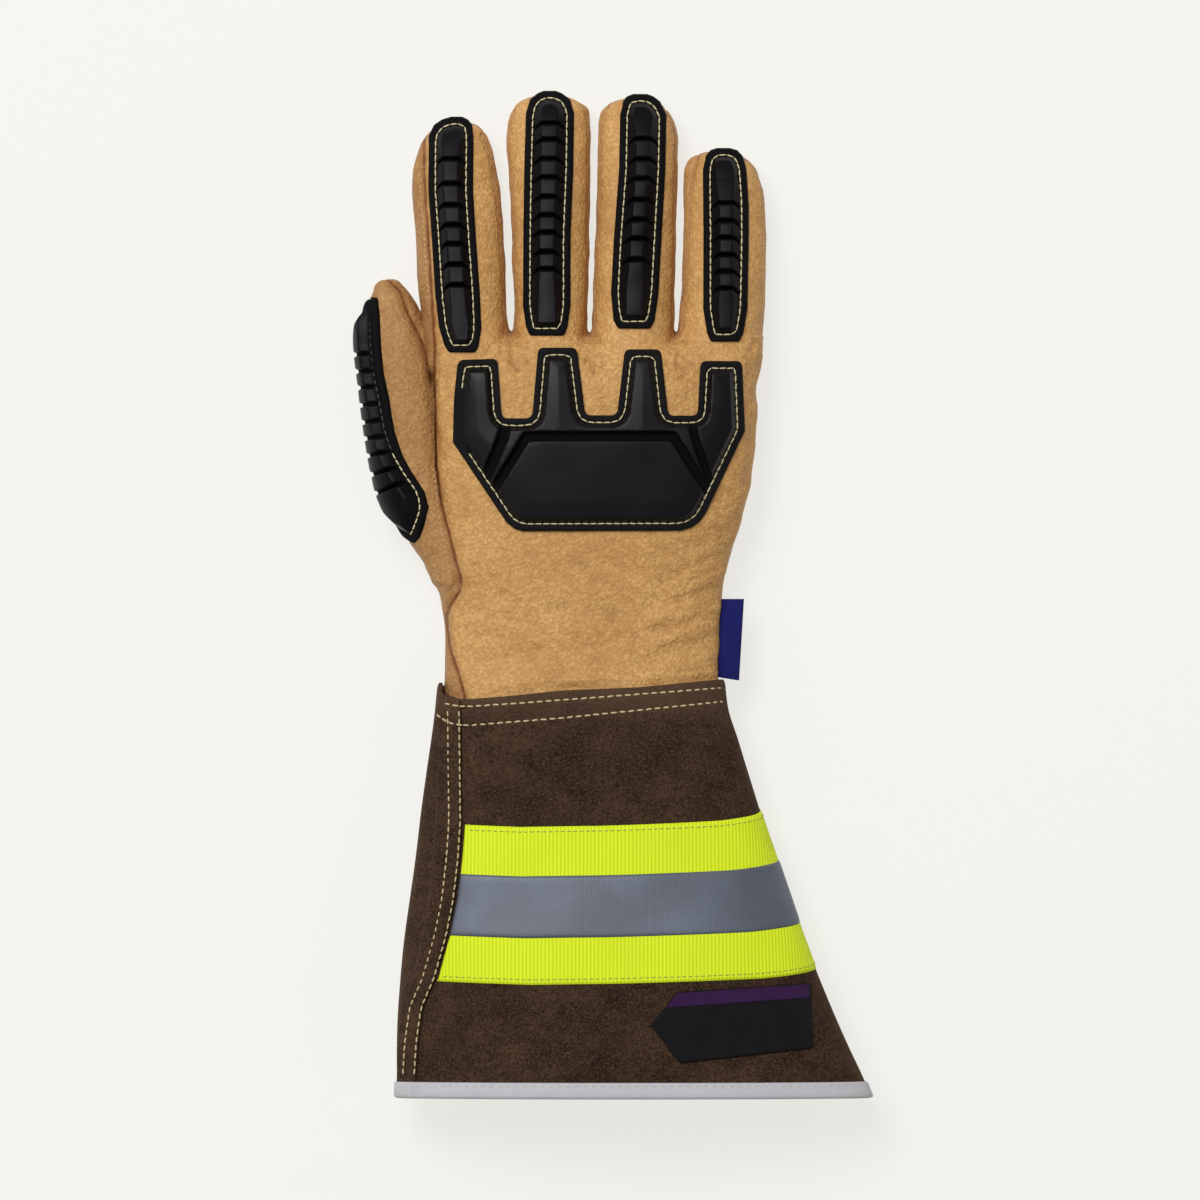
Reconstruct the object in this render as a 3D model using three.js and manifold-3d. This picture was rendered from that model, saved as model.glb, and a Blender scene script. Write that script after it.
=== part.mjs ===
import * as THREE from 'three';
import Module from 'manifold-3d';

const wasm = await Module();
wasm.setup();

// A heavy winter driver glove for the right hand, lying palm down.
// Millimetres. Fingers point to +Y, the thumb to -X, the back of the hand faces +Z.
// The surface that it lies on is z = 0.

// Driving dimensions
const LEATHER = 2.4; // wall of the hand, padded grain leather
const SUEDE = 1.6; // wall of the gauntlet cuff
const GAP = 0.3; // free space between two sewn pieces
const RIBBON = 0.6; // thickness of the woven reflective ribbon
const STRIP = 0.5; // thickness of the silver strip on the ribbon
const BINDING = 1.0; // thickness of the hem binding
const BINDING_DEPTH = 6.2; // how far the binding reaches over the hem
const PATCH = 1.0; // thickness of the label patch
const GUARD_RIM = 1.9; // height of the sewn rim of the moulded guards
const GUARD_RIB = 5.2; // height of the ribs of the finger guards
const GROOVE_LEVEL = 0.42; // share of a rib's height left at the bottom of a groove
const RIM_WIDTH = 2.6; // width of the sewn rim
const GROOVE_HALF = 1.1; // half the width of a groove between two ribs
const KNUCKLE_RISE = 5.6; // height of the knuckle guard
const KNUCKLE_FLOOR = 2.8; // height left in its grooves
const SINK = 1.6; // how far a pad is modelled into the leather before it is trimmed
const HEM_Y = -185;
const CUFF_LAP = 7.5; // how far the palm side of the cuff laps over the back
const CUFF_FOLD_ANGLE = -24; // where the two cuff panels meet on the right, degrees
const WRIST_Y = -44;
const THUMB_CROTCH_Y = 50;
const FINGER_SEAM_Y = 98; // where the panels of the hand end and those of the fingers begin

const AROUND_HAND = 28;
const AROUND_LINING = 16;
const AROUND_FINGER = 16;
const AROUND_FINGER_LINING = 8;

const table = (columns, rows) =>
  rows.map((row) => Object.fromEntries(columns.map((name, i) => [name, row[i]])));

// Sections of the hand, from the crotches of the fingers down to the wrist
const SECTION = ['y', 'left', 'right', 'bottom', 'top', 'square'];
const HAND = table(SECTION, [
  [97.2, -59, 42, 7, 25, 2.8],
  [94.6, -68.2, 51.4, 1.6, 30.6, 3.2],
  [90, -70.8, 53.6, -0.8, 33.4, 3.4],
  [80, -68.9, 52.2, -1, 35.8, 3.4],
  [64, -68.4, 52.2, -1, 37, 3.3],
  [44, -67.5, 50.4, -1, 36.4, 3.1],
  [27.2, -67.7, 46.6, -1, 35, 3],
  [15, -67.9, 42.6, -1, 33.8, 2.9],
  [5, -66.6, 39.9, -1, 32.8, 2.9],
  [-5, -64.5, 38.9, -1, 32, 2.8],
  [-15, -63.4, 38.4, -0.8, 31.6, 2.8],
  [-25, -63.3, 38, 0.8, 31.4, 2.8],
  [-33, -63.6, 38, 1.7, 31.7, 2.8],
  [WRIST_Y, -64.9, 39.7, 1.9, 32.5, 2.7],
]);

// Creases and swellings of the back of the hand: a line, its width and its lift
const CREASE = ['x1', 'y1', 'x2', 'y2', 'width', 'lift'];
const HAND_CREASES = table(CREASE, [
  [-40, 98, -37, 80, 4, -1.3],
  [-10, 98, -9, 80, 4, -1.3],
  [22, 98, 24, 80, 4, -1.3],
  [38, 14, 8, 0, 5, -1],
  [39, 1, 6, -8, 5, 1],
  [37, -12, 8, -16, 5, -1],
  [36, -22, 2, -24, 5, 0.9],
  [-60, 12, -38, 2, 5, -1],
  [-60, -4, -36, -7, 5, 0.9],
  [-58, -20, -30, -16, 5, -0.9],
]);

const FINGERS = {
  index: table(SECTION, [
    [78, -66.5, -42, 1.5, 31.5, 2.6],
    [90.8, -70.8, -39.4, -0.8, 31.6, 2.6],
    [104.2, -72.2, -40.7, -0.8, 29.8, 2.5],
    [130.8, -74, -41.8, -0.8, 26.2, 2.5],
    [153, -75.5, -43.7, -0.8, 22.4, 2.4],
    [161.9, -73.3, -45.5, -0.6, 20.4, 2.4],
    [168.5, -70.8, -47.6, 0, 18.2, 2.3],
    [173, -67.2, -50.4, 1.6, 15.6, 2.2],
    [176.3, -61.6, -55, 5.2, 11.4, 2],
  ]),
  middle: table(SECTION, [
    [78, -36, -12, 1.5, 33, 2.6],
    [95, -37.9, -11, -0.8, 32.4, 2.6],
    [108.6, -37.4, -10.7, -0.8, 30.4, 2.5],
    [135.2, -38.5, -10, -0.8, 26.8, 2.5],
    [161.9, -40, -9.6, -0.8, 22.6, 2.4],
    [170.8, -40.3, -9.6, -0.6, 20.8, 2.4],
    [179.6, -38.1, -10.7, 0.4, 17.6, 2.3],
    [184.1, -31.8, -17, 2.6, 14.4, 2.1],
    [186.3, -27, -21.8, 5.5, 11, 2],
  ]),
  ring: table(SECTION, [
    [78, -6.5, 19.5, 1.5, 33, 2.6],
    [95, -8.6, 21.4, -0.8, 32.2, 2.6],
    [108.6, -8.5, 21.5, -0.8, 30.2, 2.5],
    [135.2, -7.4, 22.2, -0.8, 26.6, 2.5],
    [161.9, -6.7, 22.9, -0.8, 22.4, 2.4],
    [170.8, -6.3, 22.6, -0.6, 20.6, 2.4],
    [179.6, -4.8, 18.1, 0.8, 17.2, 2.3],
    [183.4, 0.2, 13.9, 2.8, 14.2, 2.1],
    [185.2, 4.6, 10.4, 5.5, 11, 2],
  ]),
  little: table(SECTION, [
    [78, 25, 50.5, 1.5, 30.5, 2.6],
    [93, 22.8, 53.9, -0.8, 30.2, 2.6],
    [108.6, 24.1, 55.1, -0.8, 28.4, 2.5],
    [135.2, 25.2, 55.5, -0.8, 24.6, 2.5],
    [153, 25.2, 53.3, -0.4, 20.8, 2.3],
    [158.4, 25.9, 50.9, 0.6, 18.6, 2.2],
    [162.4, 28.6, 47, 2.4, 15.8, 2.1],
    [164.9, 34, 41.5, 5, 12, 2],
  ]),
};

// The thumb: centre line, half width, half height, turn of the section about Z
const THUMB = table(['y', 'x', 'z', 'half', 'high', 'turn', 'square'], [
  [20, -57.5, 13.3, 12.8, 11.5, 42, 2.3],
  [30, -65, 13.2, 13.8, 13, 32, 2.3],
  [43, -71.2, 12.8, 14.4, 13.6, 22, 2.3],
  [60, -75.6, 12.4, 13.1, 13.2, 10, 2.3],
  [78, -78, 12, 12.9, 12.8, 5, 2.3],
  [92, -80.1, 11.6, 12.4, 12.2, 2, 2.3],
  [100, -82, 11.2, 10.9, 11.4, 0, 2.2],
  [109.4, -83.8, 10.8, 8.6, 8.8, 0, 2.1],
  [113.6, -84, 10.6, 5.8, 6.2, 0, 2],
  [116.8, -83.8, 10.4, 2.4, 2.8, 0, 2],
]);

// Inside of the gauntlet cuff, from the wrist to the hem
const CUFF = table([...SECTION, 'floor'], [
  [-28, -63.9, 38.4, 1.2, 32.2, 2.8, 1.6],
  [-44, -65.6, 40.4, 0.6, 33, 2.7, 1.6],
  [-62, -68, 46.5, -1, 34.8, 2.6, 1.6],
  [-86, -71.1, 53.7, -2.5, 37.8, 2.4, 1.6],
  [-112, -74.4, 62.1, -3.4, 41.1, 2.3, 1.6],
  [-136, -77.3, 70.9, -4, 44.4, 2.3, 1.6],
  [-158, -79.2, 80.4, -4.4, 47.4, 2.2, 1.6],
  [-178, -79, 89.8, -4.2, 49.8, 2.2, 3.3],
  [-188, -78.8, 94.2, -4.2, 51, 2.2, 3.3],
]);

// Upper edge of the cuff over the back of the hand
const CUFF_TOP = table(['x', 'y'], [
  [-66, -33.6],
  [-63, -37],
  [-59, -38.8],
  [-54, -39],
  [-20, -35.6],
  [10, -34.4],
  [39, -31.8],
]);

// Edge of the palm side of the cuff where it laps over the back
const LAP_EDGE = table(['y', 'x'], [
  [-28, -55.8],
  [-84, -55.1],
  [-113, -57.7],
  [-126, -60.3],
  [-142, -64.8],
  [-153, -68.9],
  [-190, -72],
]);

// How far the ribbon climbs towards the right side of the cuff
const RIBBON_CLIMB = table(['angle', 'lift'], [
  [-30, 8],
  [0, 5.6],
  [45, 1.9],
  [90, 0],
  [110, -0.4],
  [160, 1.4],
]);
const RIBBON_TOP = -85.8;
const RIBBON_BOTTOM = -144;
const STRIP_TOP = -104;
const STRIP_BOTTOM = -126.8;

// Seam of the back panel along the index side, from the finger tip to the wrist
const SIDE_SEAM = [
  [-70.9, 166], [-70.3, 143.7], [-66.8, 90.8], [-66.7, 55], [-64.2, 31.6],
  [-56, 3.3], [-62.8, -7], [-57.6, -30], [-55, -50],
];

// Openings between the fingers that the side walls of the fingers fill
const GUSSETS = {
  index_middle: [
    [-43.4, 90], [-45, 130], [-46.4, 152], [-50.6, 168],
    [-41.6, 179], [-37.6, 178.4], [-35.4, 140], [-34.6, 95], [-38.5, 87],
  ],
  middle_ring: [
    [-13.6, 95], [-12.9, 140], [-13, 172], [-12.8, 181],
    [-3.6, 181], [-3.2, 168], [-4.4, 130], [-5.8, 95], [-9.6, 87],
  ],
  ring_little: [
    [18.4, 95], [19, 130], [19.8, 168], [17.8, 178.6], [24, 181],
    [26, 165], [30.2, 161.6], [28.4, 150], [27.6, 115], [25.8, 94], [21.8, 85],
  ],
};

// Width in which each finger's own panels lie
const FINGER_LANES = table(['name', 'left', 'right'], [
  ['index', -100, -39.2],
  ['middle', -39.2, -9.7],
  ['ring', -9.7, 22.3],
  ['little', 22.3, 100],
]);

// Height of the seam between back and palm, and of the lower seam of the gussets
const SEAM_HEIGHT = table(['y', 'middle', 'low'], [
  [-60, 17, 8],
  [80, 17, 8],
  [150, 11.5, 5.4],
  [200, 8, 5],
]);

// Outlines of the finger guards and the grooves between their ribs
const EDGE = ['y', 'left', 'right'];
const FINGER_GUARDS = {
  index: {
    edge: table(EDGE, [
      [174.6, -63.4, -54], [171.6, -67.6, -52.8], [167.5, -69.4, -52.7],
      [149.3, -69.5, -52.8], [132.6, -68.3, -51.8], [110.4, -66.9, -50.2],
      [98.2, -65.5, -49.7], [92, -63.6, -50.6], [89.4, -61.8, -52],
    ]),
    grooves: [160.9, 151.7, 143.7, 136.2, 129.2, 121.6, 114],
  },
  middle: {
    edge: table(EDGE, [
      [184.6, -28.6, -20.4], [182, -31.8, -17], [177.4, -33.5, -15.4],
      [157, -34, -15.7], [131.9, -34.4, -16.7], [106.4, -34.5, -16.7],
      [98.6, -33.4, -17.8], [95.6, -31.8, -19.3],
    ]),
    grooves: [174.1, 167.9, 160.9, 154, 146.7, 139.8, 133.5, 126.2, 120],
  },
  ring: {
    edge: table(EDGE, [
      [183.8, 4.8, 13], [181.4, 2.6, 16.4], [176.7, 1.5, 18.8],
      [157, 1.1, 18.4], [130.4, -0.9, 16.9], [110.8, -1.9, 15.8],
      [101, -1, 14.4], [98.2, 0.8, 12.8],
    ]),
    grooves: [168.2, 160.6, 153.4, 145.7, 138.2, 131.2, 123.4],
  },
  little: {
    edge: table(EDGE, [
      [163.6, 36, 43.4], [161, 33, 47], [156.6, 32.1, 48.4],
      [143.7, 32.2, 49.2], [130.4, 32.3, 49.2], [105.3, 32.2, 48.7],
      [96.4, 33.6, 47.2], [93.4, 35.2, 45.4],
    ]),
    grooves: [144.5, 137.8, 131.5, 125.2, 119, 112.7],
  },
};

// The guard of the thumb: edges as angles about the thumb, and its grooves
const THUMB_GUARD = {
  edge: table(['y', 'near', 'far'], [
    [109.6, 114, 150], [106, 109, 172], [93.8, 108, 190], [70, 105, 192],
    [52, 100, 190], [44, 95, 187], [37.6, 92, 184], [32, 96, 178],
    [27.4, 106, 168], [24.6, 118, 156],
  ]),
  grooves: [88.6, 82.3, 76.4, 70.1, 63.8, 57.9, 52, 45.7, 39.8],
};

// Outline of the knuckle guard: four lugs above one plate
const KNUCKLE_PLATE = [
  [-59.9, 72], [-58.6, 84.4], [-57.2, 86.2], [-44.8, 86.6], [-43.8, 85.4],
  [-42.2, 66], [-40.7, 64.8], [-31.6, 64.8], [-28.9, 89], [-27.6, 90.6],
  [-15.6, 90.6], [-14.4, 89], [-11.4, 66.9], [-10.2, 65.9], [-0.2, 65.9],
  [3, 88.4], [4.4, 90], [15.2, 90], [16.6, 88.4], [19.2, 66.9], [20.2, 65.8],
  [29.5, 65.8], [31.1, 84], [32.4, 85.6], [45.4, 85.6], [46.6, 84],
  [47.7, 60.1], [31.8, 27], [24.6, 23.1], [-34.8, 22.9], [-40, 26.1], [-60.3, 55.9],
];
const KNUCKLE_FIELD = [
  [-57.3, 71.5], [-56.2, 83.8], [-46.3, 84], [-44.7, 64.4], [-42, 62.2], [-29.4, 62.2],
  [-26.4, 88], [-16.8, 88], [-13.8, 65], [-11.4, 63.3], [1.6, 63.3], [5.4, 87.4],
  [14.3, 87.4], [16.8, 65], [19, 63.2], [31.6, 63.2], [33.6, 83], [44.2, 83],
  [45.1, 60.6], [29.8, 28.6], [24, 25.7], [-34, 25.5], [-38, 28.2], [-57.7, 56.6],
];
const KNUCKLE_CHANNELS = [
  [[-48.1, 33.6], [-33.6, 59.4], [21.8, 59.4], [36, 33.6], [32.6, 33.6],
    [19.8, 56.4], [-31.4, 56.4], [-44.4, 33.6]],
  [[-42.4, 62.4], [-38.8, 61.6], [-46.6, 41], [-49.6, 41.8]],
  [[26.4, 63], [29.8, 63], [36.2, 41.8], [33.2, 41]],
  [[-48.6, 84.8], [-45.8, 84.8], [-44.6, 67.6], [-48, 67.6]],
];

const LABEL_OUTLINE = [
  [12.9, -159.3], [22.5, -146.9], [72, -143.8], [72.7, -167.6], [23.7, -173],
];

const TAG_OUTLINE = [[37.2, -2], [47.4, -2.1], [45.6, -32.2], [36.6, -30.8]];
const TAG_HEIGHT = 17.2;
const TAG_THICKNESS = 1.2;

const mix = (a, b, t) => a + (b - a) * t;
const degrees = (angle) => (angle * Math.PI) / 180;

function rowAt(rows, key, value) {
  const rising = rows[0][key] < rows[rows.length - 1][key];
  const sorted = rising ? rows : [...rows].reverse();
  const last = sorted.length - 1;
  const clamped = Math.min(Math.max(value, sorted[0][key]), sorted[last][key]);
  const i = Math.max(sorted.findIndex((row) => row[key] >= clamped), 1);
  const t = (clamped - sorted[i - 1][key]) / (sorted[i][key] - sorted[i - 1][key]);
  const names = Object.keys(sorted[i]);
  return Object.fromEntries(names.map((n) => [n, mix(sorted[i - 1][n], sorted[i][n], t)]));
}

// A limp tube: its rows as centre lines, the height of the surface under it, its creases
const centred = (rows) => rows.map((row) => ({
  y: row.y,
  x: (row.left + row.right) / 2,
  z: (row.bottom + row.top) / 2,
  half: (row.right - row.left) / 2,
  high: (row.top - row.bottom) / 2,
  turn: 0,
  square: row.square,
  floor: row.floor ?? 0,
}));

const hand = { rows: centred(HAND), creases: HAND_CREASES };
const thumb = { rows: THUMB.map((row) => ({ ...row, floor: 0 })), creases: [] };
const cuff = { rows: centred(CUFF), creases: [] };
const fingers = Object.fromEntries(Object.entries(FINGERS).map(
  ([name, rows]) => [name, { rows: centred(rows), creases: [] }],
));

function creaseLift(creases, x, y) {
  return creases.reduce((sum, line) => {
    const dx = line.x2 - line.x1;
    const dy = line.y2 - line.y1;
    const along = ((x - line.x1) * dx + (y - line.y1) * dy) / (dx * dx + dy * dy);
    const t = Math.min(Math.max(along, 0), 1);
    const away = Math.hypot(x - line.x1 - t * dx, y - line.y1 - t * dy);
    return sum + line.lift * Math.exp(-((away / line.width) ** 2));
  }, 0);
}

function tubePoint(tube, y, angle, out) {
  const row = rowAt(tube.rows, 'y', y);
  const power = 2 / row.square;
  const cos = Math.cos(degrees(angle));
  const sin = Math.sin(degrees(angle));
  const across = (row.half + out) * Math.sign(cos) * Math.abs(cos) ** power;
  const up = (row.high + out) * Math.sign(sin) * Math.abs(sin) ** power;
  const turn = degrees(row.turn);
  const x = row.x + across * Math.cos(turn);
  const lift = up > 0 ? (up / row.high) * creaseLift(tube.creases, x, y) : 0;
  return [x, y + across * Math.sin(turn), Math.max(row.z + up + lift, row.floor - out)];
}

function angleAtX(tube, y, x) {
  const row = rowAt(tube.rows, 'y', y);
  const u = Math.min(Math.max((x - row.x) / row.half, -1), 1);
  return (Math.acos(Math.sign(u) * Math.abs(u) ** (row.square / 2)) * 180) / Math.PI;
}

function angleAfter(tube, y, start, distance, out) {
  const step = 0.5;
  let angle = start;
  let gone = 0;
  let here = tubePoint(tube, y, angle, out);
  while (gone < distance) {
    angle += step;
    const next = tubePoint(tube, y, angle, out);
    gone += Math.hypot(next[0] - here[0], next[2] - here[2]);
    here = next;
  }
  return angle;
}

// Closed solids
function solid(points, faces) {
  return new wasm.Manifold(new wasm.Mesh({
    numProp: 3,
    vertProperties: new Float32Array(points.flat()),
    triVerts: new Uint32Array(faces.flat()),
  }));
}

function loft(rings) {
  const n = rings[0].length;
  const points = rings.flat();
  const faces = [];
  for (let j = 0; j < rings.length - 1; j += 1) {
    for (let i = 0; i < n; i += 1) {
      const k = (i + 1) % n;
      const [a, b, c, d] = [j * n + i, j * n + k, (j + 1) * n + k, (j + 1) * n + i];
      faces.push([a, b, c], [a, c, d]);
    }
  }
  [0, rings.length - 1].forEach((j) => {
    const middle = points.length;
    const sum = rings[j].reduce((m, p) => m.map((value, axis) => value + p[axis] / n), [0, 0, 0]);
    points.push(sum);
    for (let i = 0; i < n; i += 1) {
      const k = (i + 1) % n;
      faces.push(j === 0 ? [j * n + k, j * n + i, middle] : [j * n + i, j * n + k, middle]);
    }
  });
  return facingOut(points, faces);
}

function facingOut(points, faces) {
  const volume = faces.reduce((sum, [a, b, c]) => {
    const [p, q, r] = [a, b, c].map((i) => new THREE.Vector3(...points[i]));
    return sum + p.dot(q.cross(r));
  }, 0);
  return solid(points, volume > 0 ? faces : faces.map(([a, b, c]) => [c, b, a]));
}

function tubeSolid(tube, around, out, stations) {
  return loft(stations.map((y) => Array.from(
    { length: around },
    (_, i) => tubePoint(tube, y, (360 * (i + 0.5)) / around, out),
  )));
}

const stationsOf = (tube, from, to, every = 1) => {
  const inside = tube.rows.map((row) => row.y).filter((y) => y > from + 1 && y < to - 1);
  const kept = inside.filter((_, i) => i % every === 0);
  return [...kept, from, to].sort((a, b) => a - b);
};

// A plate of columns by rows: side 0 is its underside, side 1 its top
function plate(columns, rows, point) {
  const points = [];
  const faces = [];
  const id = (i, j, side) => (side * rows + j) * columns + i;
  for (let side = 0; side < 2; side += 1) {
    for (let j = 0; j < rows; j += 1) {
      for (let i = 0; i < columns; i += 1) points.push(point(i, j, side));
    }
  }
  const quad = (a, b, c, d) => faces.push([a, b, c], [a, c, d]);
  for (let j = 0; j < rows - 1; j += 1) {
    for (let i = 0; i < columns - 1; i += 1) {
      quad(id(i, j, 1), id(i + 1, j, 1), id(i + 1, j + 1, 1), id(i, j + 1, 1));
      quad(id(i, j + 1, 0), id(i + 1, j + 1, 0), id(i + 1, j, 0), id(i, j, 0));
    }
    quad(id(0, j, 0), id(0, j, 1), id(0, j + 1, 1), id(0, j + 1, 0));
    const last = columns - 1;
    quad(id(last, j + 1, 0), id(last, j + 1, 1), id(last, j, 1), id(last, j, 0));
  }
  for (let i = 0; i < columns - 1; i += 1) {
    const last = rows - 1;
    quad(id(i + 1, 0, 0), id(i + 1, 0, 1), id(i, 0, 1), id(i, 0, 0));
    quad(id(i, last, 0), id(i, last, 1), id(i + 1, last, 1), id(i + 1, last, 0));
  }
  return facingOut(points, faces);
}

// An upright block over an outline, from one height to another
function block(outline, low, high) {
  const flat = outline.map(([x, y]) => new THREE.Vector2(x, y));
  if (THREE.ShapeUtils.isClockWise(flat)) flat.reverse();
  const n = flat.length;
  const points = [low, high].flatMap((z) => flat.map((p) => [p.x, p.y, z]));
  const faces = THREE.ShapeUtils.triangulateShape(flat, []).flatMap(
    ([a, b, c]) => [[c, b, a], [a + n, b + n, c + n]],
  );
  for (let i = 0; i < n; i += 1) {
    const j = (i + 1) % n;
    faces.push([i, j, j + n], [i, j + n, i + n]);
  }
  return facingOut(points, faces);
}

function widened(outline, by) {
  const flat = outline.map(([x, y]) => new THREE.Vector2(x, y));
  if (THREE.ShapeUtils.isClockWise(flat)) flat.reverse();
  const n = flat.length;
  const outward = (i) => {
    const edge = flat[(i + 1) % n].clone().sub(flat[i % n]).normalize();
    return new THREE.Vector2(edge.y, -edge.x);
  };
  return flat.map((p, i) => {
    const [before, after] = [outward((i + n - 1) % n), outward(i)];
    const normal = before.clone().add(after).normalize();
    const reach = by / Math.max(normal.dot(after), 0.5);
    return [p.x + normal.x * reach, p.y + normal.y * reach];
  });
}

// Everything above one of the sloping seams, raised or lowered
function aboveSeam(column, shift) {
  const wide = 140;
  const sky = 90;
  const rows = SEAM_HEIGHT;
  return plate(2, rows.length, (i, j, side) => {
    const z = side === 0 ? rows[j][column] + shift : sky;
    return [i === 0 ? -wide : wide, rows[j].y, z];
  });
}

const join = (parts) => parts.reduce((whole, part) => whole.add(part));
const cut = (whole, ...parts) => parts.reduce((rest, part) => rest.subtract(part), whole);

// The hand with its four fingers
const FINGER_ROOT_Y = 78;
const HAND_END_Y = 97.2;

function handSolid(out, aroundHand, aroundFinger, every = 1) {
  const palmStations = stationsOf(hand, WRIST_Y - 1, HAND_END_Y + Math.min(out, 0), every);
  const palm = tubeSolid(hand, aroundHand, out, palmStations);
  return join([palm, ...Object.values(fingers).map((finger) => {
    const tip = finger.rows[finger.rows.length - 1].y;
    const stations = stationsOf(finger, FINGER_ROOT_Y, tip + out, every);
    return tubeSolid(finger, aroundFinger, out, stations);
  })]);
}

const handOuter = handSolid(0, AROUND_HAND, AROUND_FINGER);
const handGrown = handSolid(GAP, AROUND_HAND, AROUND_FINGER);
const handInner = handSolid(-LEATHER, AROUND_LINING, AROUND_FINGER_LINING, 2);
const wristMouth = tubeSolid(hand, AROUND_LINING, -LEATHER, [WRIST_Y - 6, WRIST_Y + 6]);

// The thumb lies against the hand and opens into it below its crotch
const thumbTip = THUMB[THUMB.length - 1].y;
const THUMB_ROOT_Y = 20;
const thumbOuter = tubeSolid(thumb, AROUND_FINGER, 0, stationsOf(thumb, THUMB_ROOT_Y, thumbTip));
const thumbGrown = tubeSolid(
  thumb, AROUND_FINGER, GAP, stationsOf(thumb, THUMB_ROOT_Y, thumbTip + GAP),
);
const thumbVoid = tubeSolid(
  thumb, AROUND_FINGER_LINING, -LEATHER, stationsOf(thumb, THUMB_ROOT_Y, thumbTip - LEATHER),
);
const thumbPassage = tubeSolid(
  thumb, AROUND_FINGER_LINING, -LEATHER, stationsOf(thumb, THUMB_ROOT_Y, THUMB_CROTCH_Y),
);
const handWithWall = handSolid(GAP + LEATHER, AROUND_LINING, AROUND_FINGER_LINING, 2);
const dented = cut(thumbVoid, handWithWall);
const thumbShell = cut(thumbOuter, handGrown, dented.add(thumbPassage));

const tagBlock = (grow) => block(
  widened(TAG_OUTLINE, grow),
  TAG_HEIGHT - TAG_THICKNESS / 2 - grow,
  TAG_HEIGHT + TAG_THICKNESS / 2 + grow,
);

const handShell = cut(handOuter, handInner, wristMouth, thumbPassage, tagBlock(GAP));

const backOutline = [...SIDE_SEAM, [90, -50], [90, 195], [-90, 195], [-90, 174]];
const backRegion = (grow) => block(widened(backOutline, grow), -20, 80)
  .intersect(aboveSeam('middle', -grow));
const gussetRegion = (name, grow) => block(widened(GUSSETS[name], grow), -20, 80)
  .intersect(aboveSeam('low', -grow));

const gussetNames = Object.keys(GUSSETS);
const widerGussets = join(gussetNames.map((name) => gussetRegion(name, GAP)));
const backPanel = cut(handShell, widerGussets).intersect(backRegion(0));
const palmPanel = cut(handShell, widerGussets, backRegion(GAP));

// Both panels are divided at the crotches into a part over the hand and one for each finger
const box = (left, right, from, to) => block(
  [[left, from], [right, from], [right, to], [left, to]],
  -20,
  80,
);
const overHand = box(-140, 140, -80, FINGER_SEAM_Y - GAP / 2);
const overFinger = ({ left, right }) => box(left, right, FINGER_SEAM_Y + GAP / 2, 220);

// The gauntlet cuff: two suede panels, the palm side lapped over the back at the left
const lapAngle = (y) => angleAtX(cuff, y, rowAt(LAP_EDGE, 'y', y).x);
const BACK_COLUMNS = 18;
const PALM_COLUMNS = 16;
const CUFF_ROWS = cuff.rows.map((row) => row.y).slice(1, -1);

function backColumns(y) {
  const tail = angleAfter(cuff, y, lapAngle(y), CUFF_LAP, SUEDE);
  return Array.from(
    { length: BACK_COLUMNS },
    (_, i) => mix(CUFF_FOLD_ANGLE, tail, i / (BACK_COLUMNS - 1)),
  );
}

function palmColumns(y) {
  const start = lapAngle(y);
  const flat = angleAfter(cuff, y, start, CUFF_LAP + GAP * 2, SUEDE);
  const low = angleAfter(cuff, y, flat, 3, SUEDE);
  const end = 360 + CUFF_FOLD_ANGLE;
  const rest = PALM_COLUMNS - 4;
  return [
    [start, 1], [mix(start, flat, 0.5), 1], [flat, 1], [low, 0],
    ...Array.from({ length: rest }, (_, i) => [mix(low, end - 0.5, (i + 1) / rest), 0]),
  ];
}

const cuffTopY = (x, angle) => (angle > 190 ? -34 : rowAt(CUFF_TOP, 'x', x).y);

function cuffPanel(columns, columnsAt) {
  const hems = [...CUFF_ROWS, HEM_Y];
  return plate(columns, hems.length + 1, (i, j, side) => {
    const y = hems[Math.max(j - 1, 0)];
    const [angle, raised] = columnsAt(y)[i];
    const out = side * SUEDE + raised * (SUEDE + GAP);
    const point = tubePoint(cuff, y, angle, out);
    if (j > 0) return point;
    return tubePoint(cuff, cuffTopY(point[0], angle), angle, out);
  });
}

const flatColumns = (y) => backColumns(y).map((angle) => [angle, 0]);
const cuffBack = cut(cuffPanel(BACK_COLUMNS, flatColumns), handGrown);
const cuffPalm = cut(cuffPanel(PALM_COLUMNS, palmColumns), handGrown);

// Reflective ribbon and strip across the back of the cuff
const RIBBON_ROWS = 3;
const RIBBON_COLUMNS = 16;

function band(top, bottom, low, high, start) {
  return plate(RIBBON_COLUMNS, RIBBON_ROWS, (i, j, side) => {
    const flatY = mix(top, bottom, j / (RIBBON_ROWS - 1));
    const edge = lapAngle(flatY) - start;
    const angle = mix(CUFF_FOLD_ANGLE, edge, i / (RIBBON_COLUMNS - 1));
    const y = flatY + rowAt(RIBBON_CLIMB, 'angle', angle).lift;
    return tubePoint(cuff, y, Math.min(angle, lapAngle(y) - start), side === 0 ? low : high);
  });
}

const ribbonLow = SUEDE + GAP;
const stripLow = ribbonLow + RIBBON + GAP;
const ribbon = band(RIBBON_TOP, RIBBON_BOTTOM, ribbonLow, ribbonLow + RIBBON, 1);
const strip = band(STRIP_TOP, STRIP_BOTTOM, stripLow, stripLow + STRIP, 1.2);

// Hem binding: folded over the edge of both cuff panels, on the same facets
function bindingColumns(y) {
  const lapStart = lapAngle(y);
  const back = backColumns(HEM_Y).filter((angle) => angle < lapAngle(HEM_Y) - 4);
  const [edge, ...palm] = palmColumns(y);
  const beside = [[lapStart - 1.6, 0], [lapStart - 0.6, 1]];
  return [...back.map((angle) => [angle, 0]), ...beside, edge, ...palm.slice(0, -1)];
}

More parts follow.
